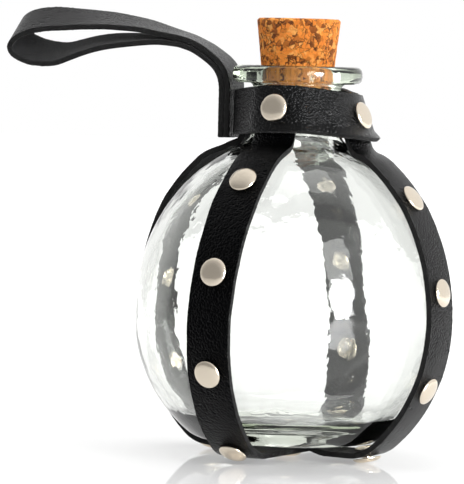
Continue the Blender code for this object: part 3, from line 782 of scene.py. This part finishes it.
def tint(tree, factor, first, second):
    """A mix of two colours."""
    ends = [tone if isinstance(tone, bpy.types.NodeSocket) else (*tone, 1) for tone in (first, second)]
    return node(tree, "ShaderNodeMix", {0: factor, 6: ends[0], 7: ends[1]}, data_type="RGBA").outputs[2]


# Heights over which the glass grows wavier up to the neck, and over which it takes the lip's tint
WAVY_NECK = (0.084, 0.102)
TINTED_LIP = (0.112, 0.117)


def glass_material(name, finishes):
    """Clear blown glass, green where it is thick, with a tinted lip."""
    material, tree, shader = new_material(name)
    where = place_of(tree, "Object")
    up = node(tree, "ShaderNodeSeparateXYZ", {0: where}).outputs["Z"]
    wavy = spread(tree, up, *WAVY_NECK, 1.0, 2.4)
    ripple = maths(tree, "MULTIPLY", noise_value(tree, where, 150, 2, 0.4), wavy)
    ragged = maths(tree, "MULTIPLY", noise_value(tree, where, 620, 1, 0.4), 0.12)
    wire(tree, shader, {
        "Base Color": tint(tree, spread(tree, up, *TINTED_LIP, 0.0, 1.0), finishes.glass, finishes.lip_glass),
        "Roughness": 0.0,
        "IOR": 1.50,
        "Transmission Weight": 1.0,
        "Normal": bump(tree, maths(tree, "ADD", ripple, ragged), 0.14, 0.0006),
    })
    depth = node(tree, "ShaderNodeVolumeAbsorption", {"Color": (*finishes.glass_depth, 1), "Density": 12.0})
    wire(tree, tree.nodes["Material Output"], {"Volume": depth.outputs[0]})
    return material


def cork_material(name, finishes):
    """Pressed cork: tan, rust and brown granules, with painted shade darkening its gaps and pits."""
    material, tree, shader = new_material(name)
    where = place_of(tree, "Object")
    bent = warped(tree, where, 520, 3, 0.0026, 0.5)
    granules = {"Vector": bent, "Scale": 640, "Randomness": 1.0}
    chip = node(tree, "ShaderNodeTexVoronoi", granules).outputs["Color"]
    chip = node(tree, "ShaderNodeSeparateColor", {0: chip}).outputs[0]
    tone = ramp(tree, chip, [(0.0, finishes.cork_dark_and_gap_shade), (0.12, (0.34, 0.095, 0.018)), (0.26, finishes.cork),
                             (0.76, (0.94, 0.33, 0.055)), (1.0, finishes.cork_light)])
    streak = noise_value(tree, bent, 1300, 4, 0.7)
    tone = tint(tree, spread(tree, streak, 0.46, 0.66, 0.0, 0.55), tone, (0.50, 0.165, 0.036))
    # Painted shade: the cracks between granules, in patches, are darkened to the darkest tone
    gap = node(tree, "ShaderNodeTexVoronoi", granules, feature="DISTANCE_TO_EDGE").outputs["Distance"]
    patch = noise_value(tree, where, 300, 3, 0.6)
    crack = maths(tree, "MULTIPLY", spread(tree, gap, 0.03, 0.11, 1.0, 0.0),
                  spread(tree, patch, 0.44, 0.56, 0.0, 1.0))
    tone = tint(tree, crack, tone, finishes.cork_dark_and_gap_shade)
    # Painted shade: the pits are sunk in the bump and darkened to a deep brown in the base colour below
    pit = spread(tree, noise_value(tree, where, 900, 2, 0.5), 0.66, 0.74, 0.0, 0.6)
    height = maths(tree, "SUBTRACT", streak, maths(tree, "ADD", crack, pit))
    wire(tree, shader, {
        "Base Color": tint(tree, pit, tone, (0.12, 0.035, 0.012)),
        "Roughness": 0.78,
        "Specular IOR Level": 0.3,
        "Normal": bump(tree, height, 0.5, 0.0004),
    })
    return material


def grain_material(name, finishes, polish):
    """The outer face of the leather: a fine pebbled grain with a soft shine, and any clear polish over it."""
    material, tree, shader = new_material(name)
    where = place_of(tree, "UV")
    bent = warped(tree, where, 700, 2, 0.0005)
    pebble = node(tree, "ShaderNodeTexVoronoi", {"Vector": bent, "Scale": 1450, "Smoothness": 0.30},
                  feature="SMOOTH_F1").outputs["Distance"]
    fine = maths(tree, "MULTIPLY", noise_value(tree, where, 3000, 3, 0.6), 0.25)
    broad = noise_value(tree, where, 90, 3, 0.6)
    fold = spread(tree, noise_value(tree, bent, 420, 3, 0.55), 0.40, 0.62, 0.0, 1.0)
    height = maths(tree, "SUBTRACT", fine, maths(tree, "MULTIPLY", pebble, pebble))
    height = maths(tree, "ADD", height, maths(tree, "MULTIPLY", fold, 0.08))
    pebbled = bump(tree, height, 0.95, 0.00040)
    rough = maths(tree, "ADD", broad, maths(tree, "MULTIPLY", pebble, 0.4))
    lighter = [2.2 * part for part in finishes.grain]
    wire(tree, shader, {
        "Base Color": tint(tree, spread(tree, broad, 0.4, 0.75, 0.0, 1.0), finishes.grain, lighter),
        "Roughness": spread(tree, rough, 0.4, 1.0, 0.18, 0.28),
        "Specular IOR Level": 0.20,
        "Specular Tint": (0.075, 0.08, 0.092, 1),
        "Normal": pebbled,
        "Coat Weight": polish,
        "Coat Roughness": 0.04,
        "Coat Normal": pebbled,
    })
    return material


def fibre_material(name, tone, paler, sheen):
    """The napped inner face or a cut edge of the leather, with clumps that are so many times paler."""
    material, tree, shader = new_material(name)
    where = place_of(tree, "Object")
    nap = noise_value(tree, where, 1500, 5, 0.75)
    clump = noise_value(tree, where, 260, 3, 0.6)
    mixed = maths(tree, "ADD", maths(tree, "MULTIPLY", nap, 0.7), maths(tree, "MULTIPLY", clump, 0.4))
    light = [paler * part for part in tone]
    wire(tree, shader, {
        "Base Color": tint(tree, spread(tree, mixed, 0.35, 0.80, 0.0, 1.0), tone, light),
        "Roughness": 0.92,
        "Specular IOR Level": 0.15,
        "Sheen Weight": sheen,
        "Sheen Roughness": 0.5,
        "Normal": bump(tree, nap, 0.8, 0.0004),
    })
    return material


def nickel_material(name, finishes):
    """Polished plated caps with faint waves and rubbed marks."""
    material, tree, shader = new_material(name)
    where = place_of(tree, "Object")
    rub = noise_value(tree, where, 2600, 4, 0.65)
    rubbed = spread(tree, rub, 0.45, 0.75, 0.0, 0.5)
    wire(tree, shader, {
        "Base Color": tint(tree, rubbed, finishes.nickel, (0.70, 0.60, 0.49)),
        "Metallic": 1.0,
        "Roughness": spread(tree, rub, 0.3, 0.8, 0.14, 0.28),
        "Normal": bump(tree, noise_value(tree, where, 260, 2, 0.4), 0.35, 0.0004),
    })
    return material


def kept_material(name, make, *values):
    """A material made once and shared."""
    return bpy.data.materials.get(name) or make(name, *values)


def leather_set(finishes, polish=0.0):
    """Grain, flesh and edge, in the order that a strip uses them."""
    return [kept_material("collar_grain" if polish else "leather_grain", grain_material, finishes, polish),
            kept_material("leather_flesh", fibre_material, finishes.flesh, 2.1, 0.12),
            kept_material("leather_edge", fibre_material, finishes.edge, 3.2, 0.15)]


# The pieces

# The waves of the blown glass: their scale and size, how much of them the outer wall has, and how deep in the
# glass that wall starts, as a share of the thickness
BLOWN_WAVES = ((62, 1), (150, 0.45))
OUTER_WAVE = 0.25
OUTER_WALL = 0.55


class POTION_OT_flask(Operator):
    """Blow the glass flask"""

    bl_idname = "potion.flask"
    bl_label = "Flask"

    def execute(self, context):
        flask = context.scene.potion_flask
        piece = turned("flask_glass", flask_outline(flask), flask.steps)
        inner = flask.radius - OUTER_WALL * flask.wall
        half = upper_half(flask) - flask.wall / 2
        waist = flask.bottom + flask.waist
        for vertex in piece.data.vertices:
            co = vertex.co
            level = Vector((co.x, co.y, 0))
            egg = sqrt((level.length / inner) ** 2 + ((co.z - waist) / half) ** 2)
            inside = egg < 1 and level.length > flask.bore + flask.wall
            size = flask.wave if inside else OUTER_WAVE * flask.wave
            if level.length > flask.wall:
                wave = sum(share * noise.noise(co * scale) for scale, share in BLOWN_WAVES)
                vertex.co += level.normalized() * size * wave
        pick(piece)
        bpy.ops.object.shade_smooth()
        paint(piece, kept_material("blown_glass", glass_material, context.scene.potion_finishes))
        finish(piece, "clear_glass", BODY, "glass_flask")
        return {"FINISHED"}


# The cork: its bevelled edge, the spacing of its points, and its facets
CORK_EDGE = 0.0007
CORK_SPACING = 0.00042
CORK_STEPS = 176
# Its granules, the cracks between them, which come in patches, its pits and its roughness
GRANULE_SCALE = 430
CRACK_WIDTH = 0.16
CRACK_DEPTH = 0.00022
PATCH_SCALE = 240
PIT_SCALE = 620
PIT_DEPTH = 0.00034
ROUGH_SCALE = 1500
ROUGH_DEPTH = 0.00005


class POTION_OT_cork(Operator):
    """Press the cork stopper"""

    bl_idname = "potion.cork"
    bl_label = "Cork"

    def execute(self, context):
        flask = context.scene.potion_flask
        low, high = CORK_LOW.z, CORK_HIGH.z
        small, large = flask.bore - flask.cork_slack, CORK_HIGH.x
        corners = [Vector((0, high)), Vector((large - CORK_EDGE, high)), Vector((large, high - CORK_EDGE)),
                   Vector((small, low + CORK_EDGE)), Vector((small - CORK_EDGE, low)), Vector((0, low))]
        outline = evenly(corners, CORK_SPACING)
        outline[0].x = outline[-1].x = 0
        piece = turned("cork", [(point.x, point.y) for point in outline], CORK_STEPS)
        normals = outward_of(piece)
        for vertex in piece.data.vertices:
            distances = noise.voronoi(vertex.co * GRANULE_SCALE)[0]
            gap = min(1, (distances[1] - distances[0]) / CRACK_WIDTH)
            patch = noise.noise(vertex.co * PATCH_SCALE)
            sunk = (1 - gap) * eased((patch + 0.1) / 0.3) * CRACK_DEPTH
            pit = eased((noise.noise(vertex.co * PIT_SCALE) - 0.28) / 0.2) * PIT_DEPTH
            rough = noise.noise(vertex.co * ROUGH_SCALE) * ROUGH_DEPTH
            vertex.co -= normals[vertex.index] * (sunk + pit + rough)
        smooth_faces(piece, TURNED_SHARP)
        paint(piece, kept_material("pressed_cork", cork_material, context.scene.potion_finishes))
        finish(piece, "agglomerated_cork", STOPPER, "cork_stopper")
        return {"FINISHED"}


# The two legs of each long strap, and how many columns of faces it has
STRAP_LEGS = {"long_strap_front_back": ("back", "front"), UPPER_STRAP: ("left", "right")}
STRAP_COLUMNS = 14


class POTION_OT_straps(Operator):
    """Lay the two long straps round the flask"""

    bl_idname = "potion.straps"
    bl_label = "Long straps"

    def execute(self, context):
        flask = context.scene.potion_flask
        harness = context.scene.potion_harness
        leather = leather_set(context.scene.potion_finishes)
        for seed, (node_name, names) in enumerate(STRAP_LEGS.items()):
            first, second = [Leg(flask, harness, name, node_name == UPPER_STRAP) for name in names]
            stations = strap_stations(flask, harness, first, second)
            strip, index, shares = cut_strip("strap_" + "_".join(names), len(stations) - 1, STRAP_COLUMNS)
            bend_strip(strip, index, shares, stations, harness.strap_width, harness, 11.0 * seed)
            thicken_strip(strip, harness.leather, -1, harness, leather)
            finish(strip, "black_leather", BODY, node_name)
        return {"FINISHED"}


# Between two straps the collar is pulled half way to a straight run, which it leaves and joins softly
STRAP_PAD = radians(17)
PULL = 0.5
PULL_RUN = radians(24)
# The collar's ends overlap at the back, where the outer one has climbed over the inner one
OVERLAP = radians(24)
CLIMB = radians(55)
CLIMB_SPEED = 1.1
COLLAR_ROWS = 300
COLLAR_COLUMNS = 26
COLLAR_RIPPLE = 0.00018
COLLAR_POLISH = 0.28


def collar_place(flask, harness, azimuth, share):
    """Radius and height of the collar: it lies on each strap, and is pulled tighter between two of them."""
    here = collar_edge(flask, harness, azimuth, share)
    tops = sorted(top for _, top in LEG_AZIMUTHS.values())
    tops.append(tops[0] + 2 * pi)
    wrapped = azimuth
    while wrapped < tops[0]:
        wrapped += 2 * pi
    while wrapped >= tops[-1]:
        wrapped -= 2 * pi
    for first, second in zip(tops, tops[1:]):
        start, end = first + STRAP_PAD, second - STRAP_PAD
        if start < wrapped < end:
            a = collar_edge(flask, harness, start, share).x
            b = collar_edge(flask, harness, end, share).x
            across = a * b * sin(end - start)
            chord = across / (a * sin(wrapped - start) + b * sin(end - wrapped))
            soft = PULL * eased(min(wrapped - start, end - wrapped) / PULL_RUN)
            return Vector((here.x + (chord - here.x) * soft, here.y))
    return here


class POTION_OT_collar(Operator):
    """Wrap the collar round the neck"""

    bl_idname = "potion.collar"
    bl_label = "Collar"

    def execute(self, context):
        flask = context.scene.potion_flask
        harness = context.scene.potion_harness
        leather = leather_set(context.scene.potion_finishes, COLLAR_POLISH)
        start = LEG_AZIMUTHS["back"][1] - OVERLAP
        sweep = 2 * pi + 2 * OVERLAP
        strip, index, shares = cut_strip("collar", COLLAR_ROWS, COLLAR_COLUMNS)
        places = np.empty((len(index), 3))
        for vertex, (row, share) in enumerate(zip(index, shares)):
            turned_by = sweep * row / COLLAR_ROWS
            azimuth = start + turned_by
            up = share + 0.5
            stray = noise.noise(Vector((turned_by * 3.1, 5.0 * (share > 0), 3.3))) * harness.wander
            climb = eased((turned_by - (2 * pi - CLIMB)) / CLIMB * CLIMB_SPEED) * ply(harness)
            place = collar_place(flask, harness, azimuth, up)
            ripple = COLLAR_RIPPLE * noise.noise(Vector((turned_by * 5.0, up * 2.0, 9.1)))
            radius = place.x + climb + ripple
            places[vertex] = radius * facing(azimuth) + Vector((0, 0, place.y + stray * 2 * abs(share)))
        lay_strip(strip, places, sweep * flask.lip_radius, harness.collar_width)
        thicken_strip(strip, harness.leather, -1, harness, leather)
        finish(strip, "black_leather", BODY, "leather_collar")
        return {"FINISHED"}


# The loop's line as shares of its reach and its rise: the doubled part and the eye
SPINE_SHARES = [(0, 0), (0.005, 0.124), (0.017, 0.236), (0.038, 0.338), (0.069, 0.431),
                (0.134, 0.573), (0.203, 0.669)]
EYE_SHARES = [(0.297, 0.790), (0.389, 0.866), (0.481, 0.908), (0.573, 0.936), (0.757, 0.945),
              (0.826, 0.940), (0.894, 0.910), (0.951, 0.838), (0.985, 0.715), (0.972, 0.600),
              (0.930, 0.515), (0.871, 0.450), (0.777, 0.432), (0.707, 0.498), (0.639, 0.570),
              (0.570, 0.622), (0.502, 0.650), (0.433, 0.665), (0.365, 0.674), (0.297, 0.671)]
# Where the doubled part lies on the collar, as shares of its width, and how far it hangs below it
FOOT_SHARES = (FLARE_SHARE, 0.6)
LOOP_TAIL = 0.0012
# The spacing of the line's points, the rounds that ease it, and the strip's columns of faces
LOOP_SPACING = 0.0005
LOOP_EASING = 6
LOOP_COLUMNS = 16
# The share of its reach that the loop doesn't turn over in
FLAT_SHARE = 0.15


def loop_foot(flask, harness, lift, share):
    """The middle of the doubled leather where it lies on the collar."""
    azimuth = LEG_AZIMUTHS["left"][1]
    flat = collar_edge(flask, harness, azimuth, 1) - collar_edge(flask, harness, azimuth, 0, 0)
    outward = Vector((flat.y, -flat.x)).normalized()
    return collar_edge(flask, harness, azimuth, share) + lift * outward


class POTION_OT_belt_loop(Operator):
    """Fold the belt loop"""

    bl_idname = "potion.belt_loop"
    bl_label = "Belt loop"

    def execute(self, context):
        flask = context.scene.potion_flask
        harness = context.scene.potion_harness
        loop = context.scene.potion_loop
        grain, flesh, edge = leather_set(context.scene.potion_finishes)
        thick = loop.leather + harness.gap
        low, *feet, top = [loop_foot(flask, harness, thick + harness.gap / 2, share)
                           for share in (0, *FOOT_SHARES, 1)]
        tail = low + LOOP_TAIL * (low - feet[0]).normalized()
        spine, eye = [[top + Vector((x * loop.reach, y * loop.rise)) for x, y in shares]
                      for shares in (SPINE_SHARES, EYE_SHARES)]
        spine = smooth_through([tail] + feet + spine, LOOP_SPACING)
        inner = shifted(spine, thick / 2)
        outer = shifted(spine, -thick / 2)
        eye = smooth_through([inner[-1]] + eye + [outer[-1]], LOOP_SPACING)
        line = inner[:-1] + eye + list(reversed(outer[:-1]))
        line = smoothed(evenly(line, harness.row), LOOP_EASING)
        stations = []
        for point, direction, along in zip(line, directions_along(line), lengths_along(line)):
            share = max(0, (point.x - top.x) / loop.reach - FLAT_SHARE) / (1 - FLAT_SHARE)
            roll = loop.roll * share
            across = Vector((0, cos(roll), sin(roll)))
            travel = Vector((-direction.x, 0, direction.y))
            stations.append((Vector((-point.x, 0, point.y)), travel, across, along))
        strip, index, shares = cut_strip("belt_loop_strip", len(stations) - 1, LOOP_COLUMNS)
        places = np.empty((len(index), 3))
        for vertex, (row, share) in enumerate(zip(index, shares)):
            point, _, across, along = stations[row]
            places[vertex] = point + from_middle(loop.width, along, share, 31.0, harness) * across
        lay_strip(strip, places, stations[-1][3], loop.width)
        thicken_strip(strip, loop.leather, 0, harness, [flesh, grain, edge])
        joint = next(j for j in frame["joints"] if j["name"] == "belt_loop_bend")
        hinge = Vector(joint["pos_m"])
        _, travel, _, _ = min(stations, key=lambda station: (station[0] - hinge).length)
        if travel.x > 0:
            travel = -travel
        finish(strip, "black_leather", None, "belt_loop_inner_end", "belt_loop_outer_end", "belt_loop_eye")
        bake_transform(strip)
        return {"FINISHED"}


# A rivet's cap, its post and its inner cap: radii, with shares of the cap's height or the post's own heights
CAP_SECTION = [(0, 1), (0.0009, 0.992), (0.0018, 0.955), (0.0026, 0.88), (0.0033, 0.765), (0.0038, 0.635),
               (0.00415, 0.50), (0.00440, 0.37), (0.00455, 0.22), (0.0046, 0.10), (0.00456, 0.02),
               (0.0044, 0)]
POST_SECTION = [(0.0014, 0), (0.0014, -0.0022), (0, -0.0022)]
BACK_RIM = (-0.12, -0.35)
BACK_DOME = [(0.0034, -0.58), (0.0029, -0.82), (0.0023, -0.96), (0.0018, -1), (0.0012, -0.97),
             (0.0008, -0.80), (0, -0.74)]
# A rim's points, as a share of the largest radius, and how far a copy is turned for each letter of its name
RIM_SHARE = 0.93
NAME_TURN = 1.3


def seat_of(node_name, waist, rim_end):
    """Where a rivet piece's rim ends, at its min or max height, and its outward direction, off its solid."""
    solid = frame["nodes"][node_name].data
    points = np.unique(np.array([v.co[:] for v in solid.vertices]).round(7), axis=0)
    centre = points.mean(0)
    sizes, axes = np.linalg.eigh(np.cov((points - centre).T))
    axis = axes[:, 0] if sizes[1] - sizes[0] > sizes[2] - sizes[1] else axes[:, 2]
    if axis @ (centre - np.array((0, 0, waist))) < 0:
        axis = -axis
    heights = (points - centre) @ axis
    reach = np.linalg.norm(points - centre - np.outer(heights, axis), axis=1)
    out = Vector(axis)
    return Vector(centre) + out * float(rim_end(heights[reach > RIM_SHARE * reach.max()])), out


class POTION_OT_rivets(Operator):
    """Set the rivets, a domed cap outside and a small cap inside"""

    bl_idname = "potion.rivets"
    bl_label = "Rivets"

    def copy_to(self, pattern, name, place, out):
        """A copy of a pattern with its own mesh, set at its seat."""
        pick(pattern)
        bpy.ops.object.duplicate(linked=False)
        piece = named(name)
        turn = out.to_track_quat("Z", "Y").to_matrix().to_4x4()
        own_turn = Matrix.Rotation(len(name) * NAME_TURN, 4, "Z")
        piece.matrix_world = Matrix.Translation(place) @ turn @ own_turn
        bpy.ops.object.transform_apply(location=True, rotation=True, scale=True)
        return piece

    def execute(self, context):
        flask = context.scene.potion_flask
        harness = context.scene.potion_harness
        nickel = kept_material("plated_caps", nickel_material, context.scene.potion_finishes)
        waist = flask.bottom + flask.waist
        dome = [(radius, share * harness.cap_height) for radius, share in CAP_SECTION]
        back = [(0, 0), (0.0033, 0)] + [(harness.back_radius, share) for share in BACK_RIM] + BACK_DOME
        back = [(radius, share * harness.back_height) for radius, share in back]
        outer = turned("cap_pattern", dome + POST_SECTION, 40)
        inner = turned("back_pattern", back, 32)
        for pattern in (outer, inner):
            smooth_faces(pattern, TURNED_SHARP)
        for label in RIVET_LABELS:
            for pattern, name, node_name, rim_end in ((outer, "cap_", "rivet_cap_", min),
                                                      (inner, "inner_cap_", "rivet_back_", max)):
                piece = self.copy_to(pattern, name + label, *seat_of(node_name + label, waist, rim_end))
                paint(piece, nickel)
                finish(piece, "polished_nickel", BODY, node_name + label)
        for pattern in (outer, inner):
            bpy.data.objects.remove(pattern)
        return {"FINISHED"}


# The studio

# The camera's side of the studio is dim, and most so on its left
DARK_SIDE = Vector((-0.62, -0.78, 0.02)).normalized()
WHITE = (1, 1, 1, 1)


def emptied(owner):
    """The node tree of a material or a world, without its nodes."""
    owner.use_nodes = True
    owner.node_tree.nodes.clear()
    return owner.node_tree


def seen_directly(tree):
    """1 for what is seen directly, in a mirror or through glass, and the node that tells the rays apart."""
    path = node(tree, "ShaderNodeLightPath")
    seen = maths(tree, "MAXIMUM", path.outputs["Is Camera Ray"], path.outputs["Is Glossy Ray"])
    return maths(tree, "MAXIMUM", seen, path.outputs["Is Transmission Ray"]), path


def dimmed(tree, way, path, start, end, least):
    """1 away from the dark side and for the camera itself, and the least right in the dark side."""
    dim = spread(tree, vectors(tree, "DOT_PRODUCT", way, DARK_SIDE), start, end, 1.0, least)
    return maths(tree, "MAXIMUM", dim, path.outputs["Is Camera Ray"])


def floor_material():
    """A white table with a soft shine, white to the camera and still taking shadows; its glow is weaker near
    the bottle and, seen in shiny pieces and through glass, on the dark side, which is painted shade.
    """
    material = bpy.data.materials.new("table")
    tree = emptied(material)
    seen, path = seen_directly(tree)
    where = place_of(tree, "Object")
    away = vectors(tree, "LENGTH", where)
    # Painted shade: the glow is weakest near the bottle, darkening the table round its foot, and grows to
    # full white farther off
    strength = maths(tree, "MULTIPLY", seen, spread(tree, away, 0.10, 0.60, 0.50, 1.15))
    # Painted shade: seen in shiny pieces and through the glass, the table glows less on the dark side
    strength = maths(tree, "MULTIPLY", strength, dimmed(tree, where, path, 0.05, 0.30, 0.30))
    matt = node(tree, "ShaderNodeBsdfDiffuse", {"Color": (0.50, 0.50, 0.50, 1)}).outputs[0]
    glow = node(tree, "ShaderNodeEmission", {"Color": WHITE, "Strength": strength}).outputs[0]
    lit = node(tree, "ShaderNodeAddShader", {0: matt, 1: glow}).outputs[0]
    gloss = node(tree, "ShaderNodeBsdfGlossy", {"Color": WHITE, "Roughness": 0.045}).outputs[0]
    mixed = node(tree, "ShaderNodeMixShader", {0: 0.34, 1: lit, 2: gloss}).outputs[0]
    node(tree, "ShaderNodeOutputMaterial", {"Surface": mixed})
    return material


# The bright soft window that shiny pieces show: where it lies, half its width and height, and its strength
WINDOW_WAY = Vector((0.807, -0.565, 0.173))
WINDOW_HALF = (0.17, 0.21)
WINDOW_STRENGTH = 38.0


def window_glow(tree, way):
    """How bright the window is in a direction: an uneven patch with a soft edge."""
    aside = Vector((-WINDOW_WAY.y, WINDOW_WAY.x, 0)).normalized()
    across = maths(tree, "DIVIDE", vectors(tree, "DOT_PRODUCT", way, aside), WINDOW_HALF[0])
    toward = vectors(tree, "DOT_PRODUCT", way, WINDOW_WAY)
    height = node(tree, "ShaderNodeSeparateXYZ", {0: way}).outputs["Z"]
    up = maths(tree, "DIVIDE", maths(tree, "SUBTRACT", height, WINDOW_WAY.z), WINDOW_HALF[1])
    square = maths(tree, "ADD", maths(tree, "MULTIPLY", up, up), maths(tree, "MULTIPLY", across, across))
    uneven = maths(tree, "ADD", square, maths(tree, "MULTIPLY", noise_value(tree, way, 10, 3, 0.6), 2.2))
    glow = spread(tree, uneven, 1.75, 2.30, WINDOW_STRENGTH, 0.0)
    return maths(tree, "MULTIPLY", glow, spread(tree, toward, 0.5, 0.6, 0.0, 1.0))


def studio_world():
    """White behind the object and dim on the camera's side, an even fill for matt pieces, and the window."""
    world = bpy.data.worlds.new("studio")
    tree = emptied(world)
    seen, path = seen_directly(tree)
    way = place_of(tree, "Generated")
    shown = maths(tree, "MULTIPLY", seen, dimmed(tree, way, path, 0.05, 0.85, 0.36))
    fill = maths(tree, "MULTIPLY", maths(tree, "SUBTRACT", 1.0, seen), 0.62)
    window = maths(tree, "MULTIPLY", window_glow(tree, way), path.outputs["Is Glossy Ray"])
    strength = maths(tree, "ADD", maths(tree, "ADD", shown, fill), window)
    light = node(tree, "ShaderNodeBackground", {"Color": WHITE, "Strength": strength}).outputs[0]
    node(tree, "ShaderNodeOutputWorld", {"Surface": light})
    return world


# Place, size and power of each light, which no shiny surface shows, and the point that they all face
LIGHTS = {
    "fill_right": ((0.62, -0.42, 0.42), (0.34, 0.50), 3.6),
    "fill_back": ((0.60, 0.55, 0.35), (0.45, 0.60), 3.0),
    "overhead": ((-0.10, 0.10, 0.90), (0.70, 0.70), 4.4),
}
LIT_POINT = Vector((0, 0, 0.07))


class POTION_OT_stage(Operator):
    """Set the table, the lights and the camera"""

    bl_idname = "potion.stage"
    bl_label = "Stage"

    def execute(self, context):
        deselect()
        bpy.ops.mesh.primitive_plane_add(size=8)
        floor = context.object
        floor.name = "table_top"
        floor.data.materials.append(floor_material())
        context.scene.world = studio_world()
        for name, (place, size, power) in LIGHTS.items():
            deselect()
            bpy.ops.object.light_add(type="AREA", location=place)
            lamp = context.object
            lamp.name = name
            lamp.data.shape = "RECTANGLE"
            lamp.data.size, lamp.data.size_y = size
            lamp.data.energy = power
            lamp.visible_glossy = False
            lamp.rotation_euler = (LIT_POINT - Vector(place)).to_track_quat("-Z", "Y").to_euler()
        self.add_camera(context)
        context.scene.view_settings.view_transform = "Standard"
        return {"FINISHED"}

    def add_camera(self, context):
        """The camera at the photo's place."""
        place = context.scene.potion_camera
        level = cos(place.pitch)
        ahead = Vector((-sin(place.yaw) * level, cos(place.yaw) * level, -sin(place.pitch)))
        right = Vector((cos(place.yaw), sin(place.yaw), 0))
        up = right.cross(ahead)
        rolled_right = cos(place.roll) * right + sin(place.roll) * up
        rolled_up = -sin(place.roll) * right + cos(place.roll) * up
        axes = Matrix((rolled_right, rolled_up, -ahead)).transposed().to_4x4()
        spin = Matrix.Rotation(place.azimuth, 4, "Z")
        bpy.ops.object.camera_add()
        camera = context.object
        camera.matrix_world = spin @ Matrix.Translation((0, -place.distance, place.height)) @ axes
        camera.data.sensor_fit = "HORIZONTAL"
        camera.data.sensor_width = 36
        camera.data.lens = place.lens
        camera.data.clip_end = 50
        context.scene.camera = camera


class POTION_PT_panel(Panel):
    """Lists the pieces in the sidebar"""

    bl_label = "Potion bottle"
    bl_idname = "POTION_PT_panel"
    bl_space_type = "VIEW_3D"
    bl_region_type = "UI"
    bl_category = "Potion"

    def draw(self, context):
        for operator in OPERATORS:
            self.layout.operator(operator.bl_idname)
        for group in PROPERTY_GROUPS:
            box = self.layout.box()
            for key in PROPERTY_GROUPS[group].__annotations__:
                box.prop(getattr(context.scene, group), key)


OPERATORS = (POTION_OT_flask, POTION_OT_cork, POTION_OT_straps, POTION_OT_collar, POTION_OT_belt_loop,
             POTION_OT_rivets, POTION_OT_stage)
PROPERTY_GROUPS = {
    "potion_flask": FlaskSizes,
    "potion_harness": HarnessSizes,
    "potion_loop": LoopSizes,
    "potion_finishes": Finishes,
    "potion_camera": CameraPlace,
}


def register():
    """Register the classes and their settings."""
    for group in PROPERTY_GROUPS.values():
        bpy.utils.register_class(group)
    for operator in OPERATORS:
        bpy.utils.register_class(operator)
    bpy.utils.register_class(POTION_PT_panel)
    for name, group in PROPERTY_GROUPS.items():
        setattr(bpy.types.Scene, name, PointerProperty(type=group))


def unregister():
    """Take them away again."""
    for name in PROPERTY_GROUPS:
        delattr(bpy.types.Scene, name)
    bpy.utils.unregister_class(POTION_PT_panel)
    for operator in reversed(OPERATORS):
        bpy.utils.unregister_class(operator)
    for group in reversed(PROPERTY_GROUPS.values()):
        bpy.utils.unregister_class(group)


def main():
    """Make every piece and the stage."""
    register()
    bpy.ops.potion.stage()
    bpy.ops.potion.flask()
    bpy.ops.potion.cork()
    bpy.ops.potion.straps()
    bpy.ops.potion.collar()
    bpy.ops.potion.belt_loop()
    bpy.ops.potion.rivets()


if __name__ == "__main__":
    main()
